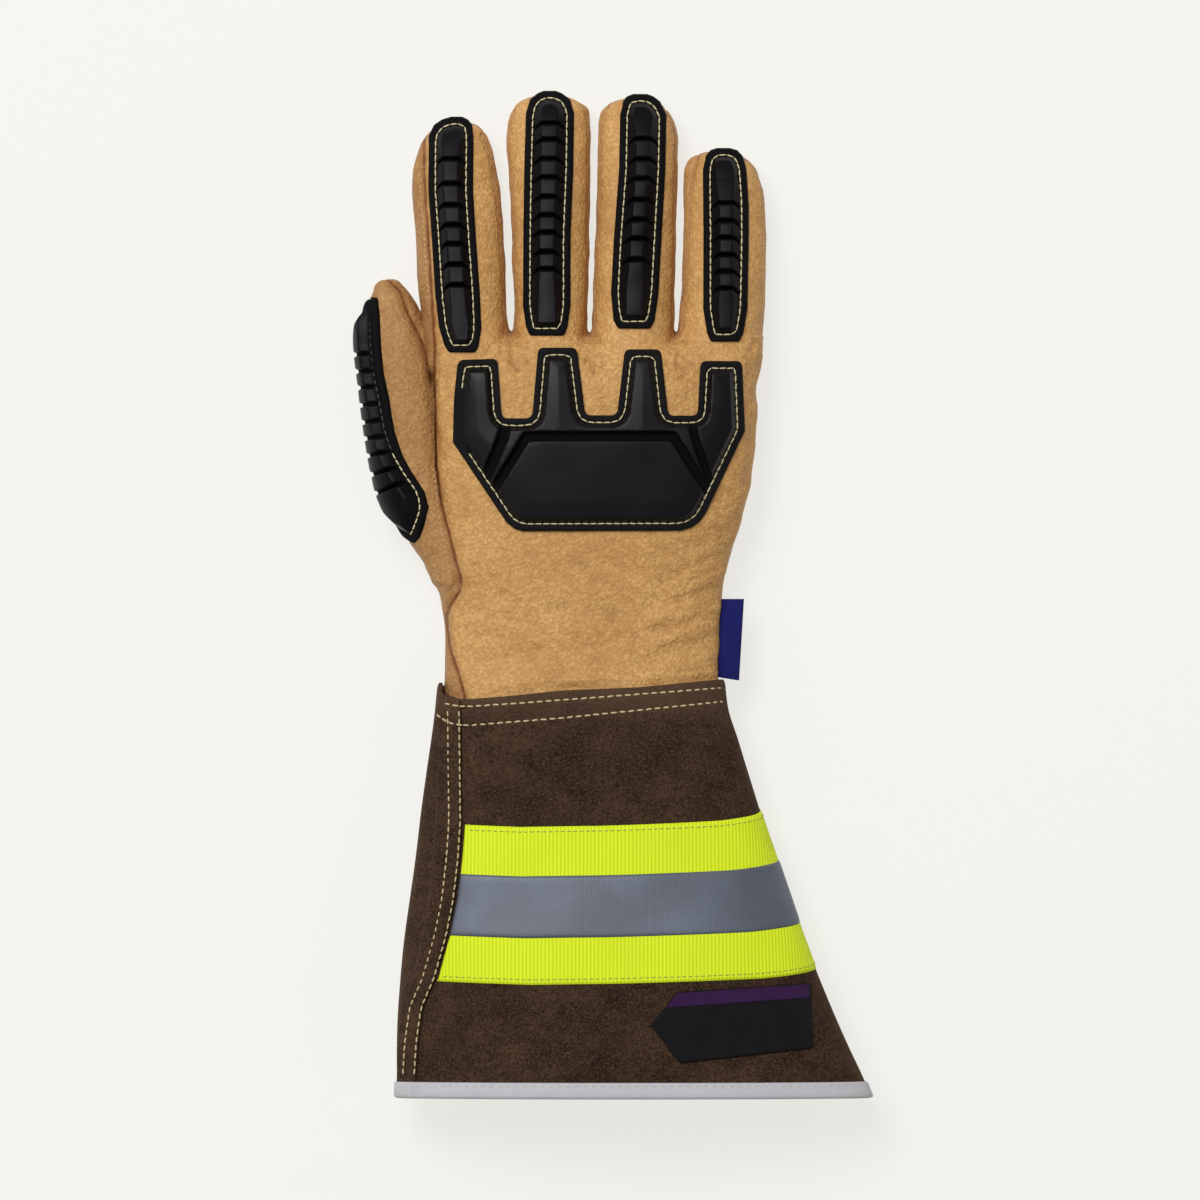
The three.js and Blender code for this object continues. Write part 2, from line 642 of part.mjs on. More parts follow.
function bindingRing() {
  const top = HEM_Y + BINDING_DEPTH;
  const end = HEM_Y - GAP;
  const upper = bindingColumns(top);
  const lower = bindingColumns(HEM_Y);
  const rings = lower.map(([, raised], column) => {
    const outside = SUEDE + GAP * 1.6 + raised * (SUEDE + GAP);
    const inside = -GAP * 1.6;
    const section = [
      [inside, top], [inside, end], [outside, end], [outside, top],
      [outside + BINDING, top], [outside + BINDING, end - BINDING],
      [inside - BINDING, end - BINDING], [inside - BINDING, top],
    ];
    return section.map(([out, y]) => {
      const [angle] = (y === top ? upper : lower)[column];
      return tubePoint(cuff, y, angle, out);
    });
  });
  const n = rings[0].length;
  const faces = [];
  rings.forEach((_, j) => {
    const next = (j + 1) % rings.length;
    for (let i = 0; i < n; i += 1) {
      const k = (i + 1) % n;
      const [a, b, c, d] = [j * n + i, j * n + k, next * n + k, next * n + i];
      faces.push([a, b, c], [a, c, d]);
    }
  });
  return facingOut(rings.flat(), faces);
}

const binding = bindingRing();

// Label patch on the back of the cuff
const patchSkin = plate(7, 3, (i, j, side) => tubePoint(
  cuff, mix(-140, -176, j / 2), mix(12, 84, i / 6), ribbonLow + side * PATCH,
));
const label = patchSkin.intersect(block(LABEL_OUTLINE, 0, 80));

// Moulded guards: a sewn rim with ribs between grooves
function guardStations(top, bottom, grooves) {
  const pad = RIM_WIDTH + 1.6;
  const list = [[top, 0], [top - RIM_WIDTH, 0], [top - pad, 1]];
  grooves.forEach((y) => list.push([y + GROOVE_HALF, 1], [y, GROOVE_LEVEL], [y - GROOVE_HALF, 1]));
  list.push([bottom + pad, 1], [bottom + RIM_WIDTH, 0], [bottom, 0]);
  return list;
}

const RIB_PROFILE = table(['share', 'inset', 'rise'], [
  [0, 0, 0],
  [0, 1, 0],
  [0.3, 1, 1],
  [0.7, 1, 1],
  [1, 1, 0],
  [1, 0, 0],
]);

function ribbedGuard(tube, edge, grooves, near, far) {
  const stations = guardStations(edge[0].y, edge[edge.length - 1].y, grooves);
  return plate(RIB_PROFILE.length, stations.length, (i, j, side) => {
    const [y, level] = stations[j];
    const row = rowAt(edge, 'y', y);
    const column = RIB_PROFILE[i];
    const [start, end] = [near(tube, row), far(tube, row)];
    const rim = ((end - start) * RIM_WIDTH) / guardWidth(tube, y, start, end);
    const inside = mix(start + rim, end - rim, column.share);
    const outside = column.share < 0.5 ? start : end;
    const rise = mix(GUARD_RIM, GUARD_RIB, column.rise * level);
    return tubePoint(tube, y, mix(outside, inside, column.inset), side === 0 ? -SINK : rise);
  });
}

function guardWidth(tube, y, start, end) {
  const [a, b] = [tubePoint(tube, y, start, 0), tubePoint(tube, y, end, 0)];
  return Math.max(Math.hypot(a[0] - b[0], a[2] - b[2]), RIM_WIDTH * 3);
}

const fingerGuards = Object.fromEntries(Object.entries(FINGER_GUARDS).map(([name, guard]) => [
  name,
  cut(ribbedGuard(
    fingers[name], guard.edge, guard.grooves,
    (tube, row) => angleAtX(tube, row.y, row.right),
    (tube, row) => angleAtX(tube, row.y, row.left),
  ), handGrown),
]));

const thumbGuard = cut(
  ribbedGuard(thumb, THUMB_GUARD.edge, THUMB_GUARD.grooves, (t, row) => row.near, (t, row) => row.far),
  thumbGrown,
  handGrown,
);

// Knuckle guard: a plate with four lugs, a raised field and channels
const knuckleRows = hand.rows.map((row) => row.y).filter((y) => y > 17 && y < 95);
const facetAngle = (i) => (360 * (i + 0.5)) / AROUND_HAND;
const knuckleSkin = (low, high) => plate(12, knuckleRows.length, (i, j, side) => tubePoint(
  hand, knuckleRows[j], facetAngle(i + 1), side === 0 ? low : high,
));
const knuckleRim = block(KNUCKLE_PLATE, 0, 80).intersect(knuckleSkin(-SINK, GUARD_RIM));
const knuckleField = block(KNUCKLE_FIELD, 0, 80)
  .intersect(knuckleSkin(0, KNUCKLE_RISE));
const knuckleGrooves = join(KNUCKLE_CHANNELS.map((outline) => block(outline, 0, 80)))
  .intersect(knuckleSkin(KNUCKLE_FLOOR, KNUCKLE_RISE + 4));
const knuckleGuard = cut(knuckleRim.add(knuckleField), knuckleGrooves, handGrown);

// Finished pieces
const group = new THREE.Group();
group.name = 'winter_driver_glove';

function addPiece(name, body, color, roughness) {
  const { numProp, vertProperties, triVerts } = body.getMesh();
  const geometry = new THREE.BufferGeometry();
  const positions = new Float32Array((vertProperties.length / numProp) * 3);
  for (let i = 0; i < vertProperties.length / numProp; i += 1) {
    for (let axis = 0; axis < 3; axis += 1) {
      positions[i * 3 + axis] = vertProperties[i * numProp + axis];
    }
  }
  geometry.setAttribute('position', new THREE.BufferAttribute(positions, 3));
  geometry.setIndex(new THREE.BufferAttribute(new Uint32Array(triVerts), 1));
  geometry.computeVertexNormals();
  const material = new THREE.MeshStandardMaterial({ color, roughness, metalness: 0 });
  material.name = `${name}_material`;
  const mesh = new THREE.Mesh(geometry, material);
  mesh.name = name;
  group.add(mesh);
}

const TAN = 0xc0905a;
const SUEDE_BROWN = 0x3b2b22;
const RUBBER = 0x1c1c1f;

[['back', backPanel], ['palm', palmPanel]].forEach(([face, panel]) => {
  addPiece(`${face}_panel`, panel.intersect(overHand), TAN, 0.6);
  FINGER_LANES.forEach((lane) => {
    addPiece(`${face}_${lane.name}`, panel.intersect(overFinger(lane)), TAN, 0.6);
  });
});
gussetNames.forEach((name) => {
  addPiece(`gusset_${name}`, handShell.intersect(gussetRegion(name, 0)), 0xb48350, 0.6);
});
addPiece('thumb_shell', thumbShell, TAN, 0.6);
addPiece('cuff_back', cuffBack, SUEDE_BROWN, 0.95);
addPiece('cuff_palm', cuffPalm, SUEDE_BROWN, 0.95);
addPiece('reflective_ribbon', ribbon, 0xcde32f, 0.8);
addPiece('reflective_strip', strip, 0x676e7b, 0.5);
addPiece('hem_binding', binding, 0xc5c4c9, 0.85);
addPiece('knuckle_guard', knuckleGuard, RUBBER, 0.45);
Object.entries(fingerGuards).forEach(([name, body]) => {
  addPiece(`finger_guard_${name}`, body, RUBBER, 0.45);
});
addPiece('thumb_guard', thumbGuard, RUBBER, 0.45);
addPiece('side_tag', tagBlock(0), 0x1e1e6e, 0.8);
addPiece('label_patch', label, 0x141417, 0.7);

export default group;
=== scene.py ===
import math
import bpy
import numpy as np
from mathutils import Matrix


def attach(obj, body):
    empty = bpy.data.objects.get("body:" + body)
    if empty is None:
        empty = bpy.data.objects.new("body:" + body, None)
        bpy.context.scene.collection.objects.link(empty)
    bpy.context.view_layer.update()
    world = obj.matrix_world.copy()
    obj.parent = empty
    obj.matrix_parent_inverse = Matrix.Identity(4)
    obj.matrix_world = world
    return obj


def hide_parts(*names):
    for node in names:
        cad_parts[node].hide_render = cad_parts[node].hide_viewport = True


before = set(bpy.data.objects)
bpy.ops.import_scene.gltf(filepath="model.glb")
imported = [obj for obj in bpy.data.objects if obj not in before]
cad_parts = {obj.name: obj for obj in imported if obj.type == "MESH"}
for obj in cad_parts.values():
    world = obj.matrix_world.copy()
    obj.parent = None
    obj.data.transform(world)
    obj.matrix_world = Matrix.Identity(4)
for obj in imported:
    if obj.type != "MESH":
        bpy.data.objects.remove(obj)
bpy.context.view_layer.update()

import openvdb
from mathutils import Vector

# A heavy winter driver glove for the right hand, palm down on a pale ground.
# Lengths below are in millimetres: fingers to +Y, thumb to -X, back of the hand up.

MM = 0.001
LEATHER = 2.4  # wall of the hand
LEAST_LEATHER = 1.0  # what is left of it under a deep crease
PALM_LOWER = 0.6  # how far the palm's leather passes under the back's raw edge
SUEDE = 1.6  # wall of the cuff
GAP = 0.3  # free space between two sewn pieces
HEM_Y = -185.0
RIBBON_TOP, RIBBON_BOTTOM = -85.8, -144
STRIP_TOP, STRIP_BOTTOM = -104, -126.8

# Sections: y, left, right, bottom, top, squareness
HAND = [
    (95.6, -54, 38, 7, 25.4, 2.7), (94.6, -63, 46, 4.4, 27.6, 3), (92.6, -68.6, 51.8, 1, 30.8, 3.2),
    (89, -70.4, 53.4, -0.8, 33.4, 3.3), (80, -68.9, 52.2, -1, 35.8, 3.3),
    (64, -68.4, 52.2, -1, 37, 3.2), (44, -67.5, 50.4, -1, 36.4, 3.1),
    (27.2, -67.7, 46.6, -1, 35, 3), (15, -67.9, 42.6, -1, 33.8, 2.9),
    (5, -66.6, 39.9, -1, 32.8, 2.9), (-5, -64.5, 38.9, -1, 32, 2.8),
    (-15, -63.4, 38.4, -0.8, 31.6, 2.8), (-25, -63.3, 38, 0.8, 31.4, 2.8),
    (-33, -63.6, 38, 1.7, 31.7, 2.8), (-44, -64.9, 39.7, 1.9, 32.5, 2.7),
    (-50, -65.6, 41, 1.9, 33, 2.7),
]
FINGERS = {
    "index": [
        (70, -64, -44, 3, 30, 2.6), (78, -66.5, -42, 1.5, 32, 2.6), (90.8, -70.8, -39.2, -0.8, 31.8, 2.6),
        (104.2, -72.2, -40.5, -0.8, 29.8, 2.5), (117.5, -73.3, -41.1, -0.8, 28, 2.5),
        (130.8, -74, -41.6, -0.8, 26.2, 2.5), (144.1, -75.1, -42.4, -0.8, 24, 2.5),
        (153, -75.5, -43.5, -0.8, 22.4, 2.4), (161.9, -73.5, -45.3, -0.6, 20.4, 2.4),
        (168.2, -71.2, -47.1, 0, 18.4, 2.3), (171.1, -69, -48.6, 0.8, 17, 2.3),
        (173.2, -66, -51, 2, 15.4, 2.2), (174.8, -62.4, -54.6, 4, 12.8, 2.1),
    ],
    "middle": [
        (70, -35, -13, 3, 31, 2.6), (78, -36, -12, 1.5, 33, 2.6), (95, -38, -10.9, -0.8, 32.4, 2.6),
        (108.6, -37.6, -10.5, -0.8, 30.4, 2.5), (121.9, -38.2, -10.2, -0.8, 28.6, 2.5),
        (135.2, -38.6, -9.9, -0.8, 26.8, 2.5), (148.6, -39.3, -9.6, -0.8, 24.8, 2.5),
        (161.9, -40, -9.6, -0.8, 22.6, 2.4), (170.8, -40.3, -9.6, -0.6, 20.8, 2.4),
        (176.5, -39.4, -9.9, -0.2, 19, 2.4), (179.3, -38.1, -10.1, 0.4, 17.8, 2.3),
        (182.2, -35.6, -13.4, 1.8, 16, 2.2), (184, -31.6, -17.6, 3.6, 13.8, 2.1),
        (184.9, -28, -21, 5.4, 11.8, 2),
    ],
    "ring": [
        (70, -5, 18.5, 3, 31, 2.6), (78, -6.5, 19.5, 1.5, 33, 2.6), (95, -8.6, 21.5, -0.8, 32.2, 2.6),
        (108.6, -8.5, 21.6, -0.8, 30.2, 2.5), (121.9, -7.8, 21.9, -0.8, 28.4, 2.5),
        (135.2, -7.4, 22.2, -0.8, 26.6, 2.5), (148.6, -7, 22.6, -0.8, 24.6, 2.5),
        (161.9, -6.7, 22.9, -0.8, 22.4, 2.4), (170.8, -6.3, 22.6, -0.6, 20.6, 2.4),
        (175.4, -6.2, 21.4, 0, 19, 2.4), (179.6, -4.7, 18.4, 0.8, 17.2, 2.3),
        (182, -1.6, 15.6, 2.2, 15, 2.2), (183.4, 2.4, 12.4, 4.2, 12.8, 2.1),
        (184, 4.6, 10.2, 5.6, 11.4, 2),
    ],
    "little": [
        (70, 27, 48, 3, 29, 2.6), (78, 25, 50.5, 1.5, 30.5, 2.6), (93, 22.8, 53.9, -0.8, 30.2, 2.6),
        (108.6, 24.1, 55.1, -0.8, 28.4, 2.5), (121.9, 24.8, 55.5, -0.8, 26.6, 2.5),
        (135.2, 25.2, 55.5, -0.8, 24.6, 2.5), (144.1, 25.2, 55.1, -0.8, 23, 2.4),
        (153, 25.2, 53.3, -0.4, 20.8, 2.3), (158.4, 25.9, 50.9, 0.6, 18.6, 2.2),
        (161.6, 28, 47.6, 2.2, 16.2, 2.1), (163.2, 31.4, 44.2, 4, 13.8, 2),
        (164, 34.6, 41, 5.6, 12, 2),
    ],
}
THUMB = [
    (3, -60, -48, 8, 20, 2.2), (6, -67, -48, 4, 23, 2.2), (12.4, -72, -50, 1, 25, 2.3),
    (19.8, -76.8, -52, -0.4, 26, 2.3), (27, -80.6, -54, -0.6, 26.6, 2.3),
    (35, -83.8, -57, -0.6, 26.6, 2.3), (43, -85.8, -59.5, -0.6, 26.4, 2.3),
    (60, -88.7, -62.3, -0.6, 25.6, 2.3), (78, -91, -65.1, -0.6, 24.8, 2.3),
    (92, -92.6, -67.8, -0.5, 23.8, 2.3), (100, -92.8, -71, -0.2, 22.6, 2.2),
    (105.6, -92, -72.9, 0.4, 21.2, 2.2), (109.3, -91.2, -75.1, 1.6, 19.6, 2.2),
    (112.3, -90, -77.2, 3, 18, 2.1), (114.5, -89.2, -79.2, 4.6, 16.4, 2.1), (116, -87.4, -80.7, 6.4, 14.6, 2),
    (116.8, -85.8, -82, 8, 12.8, 2),
]
CUFF = [
    (-28, -63.9, 38.4, 1.2, 32.2, 2.8, 1.6), (-44, -65.6, 40.4, 0.6, 33, 2.7, 1.6),
    (-54, -66.9, 43.9, -0.4, 33.8, 2.6, 1.6), (-69, -68.8, 48.6, -1.6, 35.4, 2.5, 1.6),
    (-84, -70.9, 52.9, -2.4, 37.5, 2.4, 1.6), (-99, -72.8, 57.6, -3, 39.3, 2.4, 1.6),
    (-113, -74.6, 62.4, -3.4, 41.2, 2.3, 1.6), (-128, -76.5, 68, -3.8, 43.3, 2.3, 1.6),
    (-143, -78, 73.9, -4.2, 45.4, 2.2, 1.6), (-158, -79.2, 80.4, -4.4, 47.4, 2.2, 1.6),
    (-168, -79.4, 85.1, -4.4, 48.6, 2.2, 2.2), (-178, -79.3, 90, -4.2, 49.8, 2.2, 3.3),
    (-190, -78.8, 95, -4.2, 51.2, 2.2, 3.3),
]
CUFF_TOP = [(-66, -33), (-64.6, -35.2), (-62.6, -37.6), (-59, -38.9), (-54, -39), (-37, -37.6),
            (-20, -35.8), (10, -34.6), (39, -31.8)]
LAP_EDGE = [(-190, -73), (-181, -72.3), (-166, -71.4), (-153, -69.6), (-142, -64.8), (-126, -60.3),
            (-113, -57.7), (-98, -56), (-84, -55.1), (-42, -55.6), (-28, -55.8)]
SIDE_SEAM = [(-70.9, 168), (-71, 157), (-70.3, 143.7), (-69.4, 130.8), (-68.2, 110.8), (-66.9, 90.8),
             (-67.1, 80.8), (-66.7, 63.8), (-66.5, 46.8), (-64.2, 31.6), (-61.6, 21.6), (-59, 11),
             (-57.2, 5), (-57.6, 1), (-61, -4), (-62.6, -8), (-62.4, -13), (-60.9, -21.6),
             (-58.1, -30), (-56, -38), (-55, -52)]
GUSSETS = {
    "index_middle": [(-43.2, 90), (-44.6, 115), (-45.2, 135), (-46.4, 150), (-48.6, 162),
                     (-51, 168.5), (-44, 176), (-40, 181.5), (-37.4, 179), (-36.3, 168),
                     (-35.6, 150), (-35, 130), (-34.4, 110), (-35.4, 95), (-38.4, 87)],
    "middle_ring": [(-13.8, 95), (-13.4, 120), (-12.9, 150), (-12.9, 170), (-13.8, 179), (-11, 184),
                    (-7, 184), (-2.4, 179.6), (-3.2, 166), (-4, 140), (-5, 112), (-5.8, 95), (-9.6, 87)],
    "ring_little": [(18.2, 95), (18.6, 118), (19.4, 145), (19.6, 166), (17.6, 178), (22, 183),
                    (26, 166), (30.6, 162), (28.8, 154), (28.4, 140), (27.8, 118), (26, 94), (21.8, 85)],
}


def smooth_rows(rows, y):
    """Columns of a table at every y, through a Catmull-Rom curve."""
    data = np.array(sorted(rows), float)
    ys = data[:, 0]
    slopes = np.gradient(data, ys, axis=0)
    y = np.clip(np.asarray(y, float), ys[0], ys[-1])
    i = np.clip(np.searchsorted(ys, y) - 1, 0, len(ys) - 2)
    h = ys[i + 1] - ys[i]
    t = (y - ys[i]) / h
    t, h = t[..., None], h[..., None]
    a, b = data[i], data[i + 1]
    return ((2 * t**3 - 3 * t**2 + 1) * a + (t**3 - 2 * t**2 + t) * h * slopes[i]
            + (-2 * t**3 + 3 * t**2) * b + (t**3 - t**2) * h * slopes[i + 1])


def middle_and_half(s):
    """Middle and half width of sections, then their middle and half height."""
    return ((s[..., 1] + s[..., 2]) / 2, (s[..., 2] - s[..., 1]) / 2,
            (s[..., 3] + s[..., 4]) / 2, (s[..., 4] - s[..., 3]) / 2)

def curve(table, at):
    """Value of a table of (place, value) at other places."""
    places, values = np.array(sorted(table), float).T
    return np.interp(at, places, values)

def sin_noise(x, y, z, scale, seed):
    """A smooth field of value noise built from a few turned sines."""
    rng = np.random.default_rng(seed)
    total = np.zeros(np.broadcast(x, y, z).shape, np.float32)
    for _ in range(7):
        d = rng.normal(size=3)
        d /= np.linalg.norm(d)
        f = 2 * math.pi / scale * rng.uniform(0.6, 1.6)
        total = total + np.sin(f * (d[0] * x + d[1] * y + d[2] * z) + rng.uniform(0, 6.28)).astype(np.float32)
    return total / 3.0


def polyline_distance(x, y, points, closed=False):
    points = np.array(points, float)
    ends = np.roll(points, -1, axis=0) if closed else points[1:]
    starts = points if closed else points[:-1]
    best = np.full(x.shape, 1e9, np.float32)
    for (x1, y1), (x2, y2) in zip(starts, ends):
        dx, dy = x2 - x1, y2 - y1
        t = np.clip(((x - x1) * dx + (y - y1) * dy) / (dx * dx + dy * dy + 1e-12), 0, 1)
        best = np.minimum(best, np.hypot(x - x1 - t * dx, y - y1 - t * dy))
    return best


def inside_polygon(x, y, points):
    result = np.zeros(x.shape, bool)
    for (x1, y1), (x2, y2) in zip(points, points[1:] + points[:1]):
        if y1 != y2:
            result ^= ((y1 > y) != (y2 > y)) & (x < (x2 - x1) * (y - y1) / (y2 - y1) + x1)
    return result


def polygon_field(x, y, points):
    """Signed distance to an outline, negative inside."""
    d = polyline_distance(x, y, points, closed=True)
    return np.where(inside_polygon(x, y, points), -d, d).astype(np.float32)


def smin(a, b, k):
    h = np.clip(0.5 + 0.5 * (b - a) / k, 0, 1)
    return b * (1 - h) + a * h - k * h * (1 - h)


def smax(a, b, k):
    return -smin(-a, -b, k)


def bell(x, width):
    return np.exp(-((x / width) ** 2))

class Grid:
    """A block of sample points in millimetres."""

    def __init__(self, low, high, step):
        self.low, self.step = np.array(low, float), step
        counts = [int(math.ceil((h - l) / step)) + 1 for l, h in zip(low, high)]
        self.axes = [l + step * np.arange(n) for l, n in zip(low, counts)]
        self.x, self.y, self.z = (a.astype(np.float32) for a in
                                  np.meshgrid(*self.axes, indexing="ij", sparse=True))
        self.shape = tuple(counts)

    def part(self, low, high):
        cut = []
        for axis, (l, h) in enumerate(zip(low, high)):
            a = self.axes[axis]
            cut.append(slice(int(np.searchsorted(a, l)), int(np.searchsorted(a, h)) + 1))
        return tuple(cut)


END_GROWTH = 0.35  # how fast a tube closes before its first section
END_ROUND = 1.2  # how softly it ends after its last one

def tube_field(grid, rows, cut):
    """Distance to a limp tube whose sections lie across Y, negative inside."""
    xs, ys, zs = (grid.axes[i][cut[i]] for i in range(3))
    s = smooth_rows(rows, ys)
    cx, a, cz, b = middle_and_half(s)
    n = s[:, 5]
    u = np.abs(xs[:, None] - cx[None, :]) / np.maximum(a, 0.3)[None, :]
    w = np.abs(zs[None, :] - cz[:, None]) / np.maximum(b, 0.3)[:, None]
    up = (u ** n[None, :]).astype(np.float32)
    wp = (w ** n[:, None]).astype(np.float32)
    f = (up[:, :, None] + wp[None, :, :]) ** (1 / n[None, :, None]).astype(np.float32)
    before = END_GROWTH * np.maximum(min(r[0] for r in rows) - ys, 0)
    f = f + before[None, :, None].astype(np.float32)
    gx, gy, gz = np.gradient(f, grid.step)
    slope = np.sqrt(gx * gx + gy * gy + gz * gz)
    tube = (f - 1) / np.maximum(slope, 0.02)
    beyond = (ys - max(r[0] for r in rows))[None, :, None]
    return smax(tube, beyond, END_ROUND).astype(np.float32)


# The hand as a field of distances
G = Grid((-100, -50, -3.2), (60, 191, 43), 0.8)
FAR = 60.0  # the field's value away from a piece
FINGER_MARGIN = 8
FINGER_BLEND, CROTCH_BLEND = 0.6, 3.2

def whole_tube(rows, low, high):
    """Field of one tube, worked out between two corners and FAR elsewhere."""
    field = np.full(G.shape, FAR, np.float32)
    cut = G.part(low, high)
    field[cut] = tube_field(G, rows, cut)
    return field

def all_fingers():
    fingers = np.full(G.shape, FAR, np.float32)
    for rows in FINGERS.values():
        left = min(r[1] for r in rows) - FINGER_MARGIN
        right = max(r[2] for r in rows) + FINGER_MARGIN
        cut = G.part((left, 66, -4), (right, 192, 44))
        fingers[cut] = smin(fingers[cut], tube_field(G, rows, cut), FINGER_BLEND)
    return fingers

hand = smin(whole_tube(HAND, (-80, -50, -4), (62, 102, 44)), all_fingers(), CROTCH_BLEND)
thumb = whole_tube(THUMB, (-100, -2, -4), (-40, 121, 40))

# Creases of the leather: x1, y1, x2, y2, width, depth in (ridges are negative)
CREASES = [
    # below the three crotches, fanning down over the hand
    (-39.5, 99, -37, 82, 1.6, 1.3), (-41, 97, -44, 85, 1.1, 0.8), (-37.5, 97, -33.5, 84, 1.1, 0.8),
    (-42.6, 95, -49, 88, 1, 0.6), (-35.6, 95, -30, 89, 1, 0.6),
    (-9.6, 99, -8.6, 82, 1.6, 1.3), (-11, 97, -14.5, 86, 1.1, 0.8), (-8, 97, -3.5, 85, 1.1, 0.8),
    (22.2, 97, 24, 80, 1.6, 1.3), (21, 95, 18.4, 84, 1.1, 0.8), (23.6, 95, 28.4, 84, 1.1, 0.9),
    (25, 93, 32, 87, 1, 0.6),
    # sides of the knuckles
    (50, 92, 48.4, 70, 1.4, 0.7), (52, 84, 49, 58, 1.3, 0.7), (-66, 88, -62, 72, 1.4, 0.6),
    (51, 62, 47, 40, 1.5, 0.7), (-66.5, 60, -63, 42, 1.4, 0.5),
    # wrist: folds that run in from the little finger's side
    (44, 24, 26, 15, 2.3, 0.54), (42, 16, 18, 6, 2.53, 0.66), (40, 10, 24, 2, 1.61, 0.42),
    (40, 3, 12, -5, 2.53, 0.6), (39, -2, 28, -9, 1.61, 0.48), (38.5, -8, 14, -14, 2.3, 0.6),
    (38, -15, 22, -19, 1.84, 0.54), (38, -20, 8, -24, 2.3, 0.48), (38, -26, 24, -29, 1.72, 0.48),
    (40, 9, 20, -1, 2.53, -0.48), (39, -5, 16, -10, 2.53, -0.48), (38, -12, 18, -17, 2.3, -0.42),
    # index side of the wrist
    (-62, 14, -44, 5, 2.3, 0.48), (-58, 4, -40, -2, 2.3, 0.54), (-60, -5, -38, -9, 2.3, 0.48),
    (-60, -14, -42, -16, 2.07, 0.48), (-58, -24, -30, -22, 2.3, 0.42), (-60, -9, -40, -12, 2.53, -0.42),
    (-30, 14, 4, 9, 3.68, 0.3), (-24, -4, 2, -6, 3.45, 0.3), (-14, -18, 6, -17, 3.45, 0.3),
]
# Heights of the side seam and of the gussets, as (y, z)
SEAM_MIDDLE = [(-60, 17), (80, 17), (150, 11.5), (200, 8)]
SEAM_LOW = [(-60, 8), (80, 8), (150, 5.4), (200, 5)]
GUSSET_TOP = [(80, 27), (88, 24.5), (104, 21.6), (150, 17.6), (178, 13.4), (190, 11)]
THUMB_SEAM = [(-84.7, 116.4), (-79.9, 111.8), (-77.4, 104.5), (-75, 99.7), (-72.4, 94.5), (-69.6, 86.8),
              (-68.4, 78)]
AWAY = 9  # a distance beyond the reach of any seam

def along_hand(table):
    return curve(table, G.axes[1]).astype(np.float32)[None, :, None]

X2, Y2 = np.meshgrid(G.axes[0], G.axes[1], indexing="ij")
side_outline = SIDE_SEAM + [(95, -52), (95, 200), (-95, 200), (-95, 173)]
back_flat = polygon_field(X2, Y2, side_outline)[:, :, None]
middle_z, low_z, high_z = (along_hand(t) for t in (SEAM_MIDDLE, SEAM_LOW, GUSSET_TOP))
region_back = smax(back_flat, middle_z - G.z, 0.8)
gusset_regions = {
    name: np.maximum(np.maximum(polygon_field(X2, Y2, outline)[:, :, None], low_z - G.z), G.z - high_z)
    for name, outline in GUSSETS.items()
}
any_gusset = np.minimum.reduce(list(gusset_regions.values()))
side_gap = np.where(any_gusset < 0, AWAY, np.abs(region_back)).astype(np.float32)
flat_gap = np.where(G.z > middle_z, np.abs(back_flat), AWAY).astype(np.float32)
gusset_gap = np.abs(any_gusset).astype(np.float32)
thumb_line = polyline_distance(X2, Y2, THUMB_SEAM)[:, :, None]
thumb_gap = np.where(G.z > 8, thumb_line, AWAY).astype(np.float32)

def leather_relief():
    """What dents the skin, as lengths to add to the field."""
    upper = np.clip((G.z - 17) / 9, 0, 1)
    dents = np.zeros(X2.shape, np.float32)
    wander = 0.9 * sin_noise(X2, Y2, 0 * X2, 9, 3)
    for x1, y1, x2, y2, width, depth in CREASES:
        reach = width * 3 + 3
        near = ((X2 > min(x1, x2) - reach) & (X2 < max(x1, x2) + reach)
                & (Y2 > min(y1, y2) - reach) & (Y2 < max(y1, y2) + reach))
        shift = wander[near]
        d = polyline_distance(X2[near] + shift, Y2[near] + shift, [(x1, y1), (x2, y2)])
        dents[near] += depth * bell(d, width)
    mouth = Y2 - curve(CUFF_TOP, X2)
    tucks = 0.6 + 0.5 * sin_noise(X2, Y2, 0 * X2, 13, 4)
    dents += 1.1 * bell(mouth - 0.6, 1.7) * tucks
    relief = dents[:, :, None] * upper
    pucker = 1 + 0.35 * sin_noise(G.x, G.y, G.z, 4.2, 11)
    relief = relief + 0.55 * bell(flat_gap, 1.3) * pucker
    relief = relief + 0.16 * bell(np.minimum(side_gap, gusset_gap), 1.0)
    relief = relief + 0.2 * sin_noise(G.x, G.y, G.z, 17, 5) + 0.06 * sin_noise(G.x, G.y, G.z, 6, 6)
    return relief.astype(np.float32)

WRIST_END = -45.0
FLOOR_ROUND = 1.2  # how softly the leather turns where it lies on the floor
PASSAGE_Y, PASSAGE_INSET = 50, 4.0  # the way from the palm into the thumb

hand_skin = np.maximum(smax(hand + leather_relief(), -G.z, FLOOR_ROUND), WRIST_END - G.y)
void = np.maximum(hand + LEATHER, LEATHER - G.z)
void = np.maximum(void, hand_skin + LEAST_LEATHER + PALM_LOWER)
thumb_relief = 0.22 * sin_noise(G.x, G.y, G.z, 13, 8) + 0.08 * sin_noise(G.x, G.y, G.z, 5, 9)
thumb_relief = thumb_relief + 0.7 * bell(thumb_gap, 1.2) + 0.9 * bell(back_flat, 2.6)
thumb_skin = smax(thumb + thumb_relief, -G.z, FLOOR_ROUND)
thumb_void = np.maximum(thumb + LEATHER, LEATHER - G.z)
passage = np.maximum(np.maximum(thumb_void, G.y - PASSAGE_Y), PASSAGE_INSET - back_flat)
shell = np.maximum(np.maximum(hand_skin, -void), -passage)
# The palm's leather passes a little under the back's raw edge
lowered = hand_skin + PALM_LOWER * np.clip((G.z - 14) / 6, 0, 1)
palm_shell = np.maximum(np.maximum(lowered, -void), -passage)

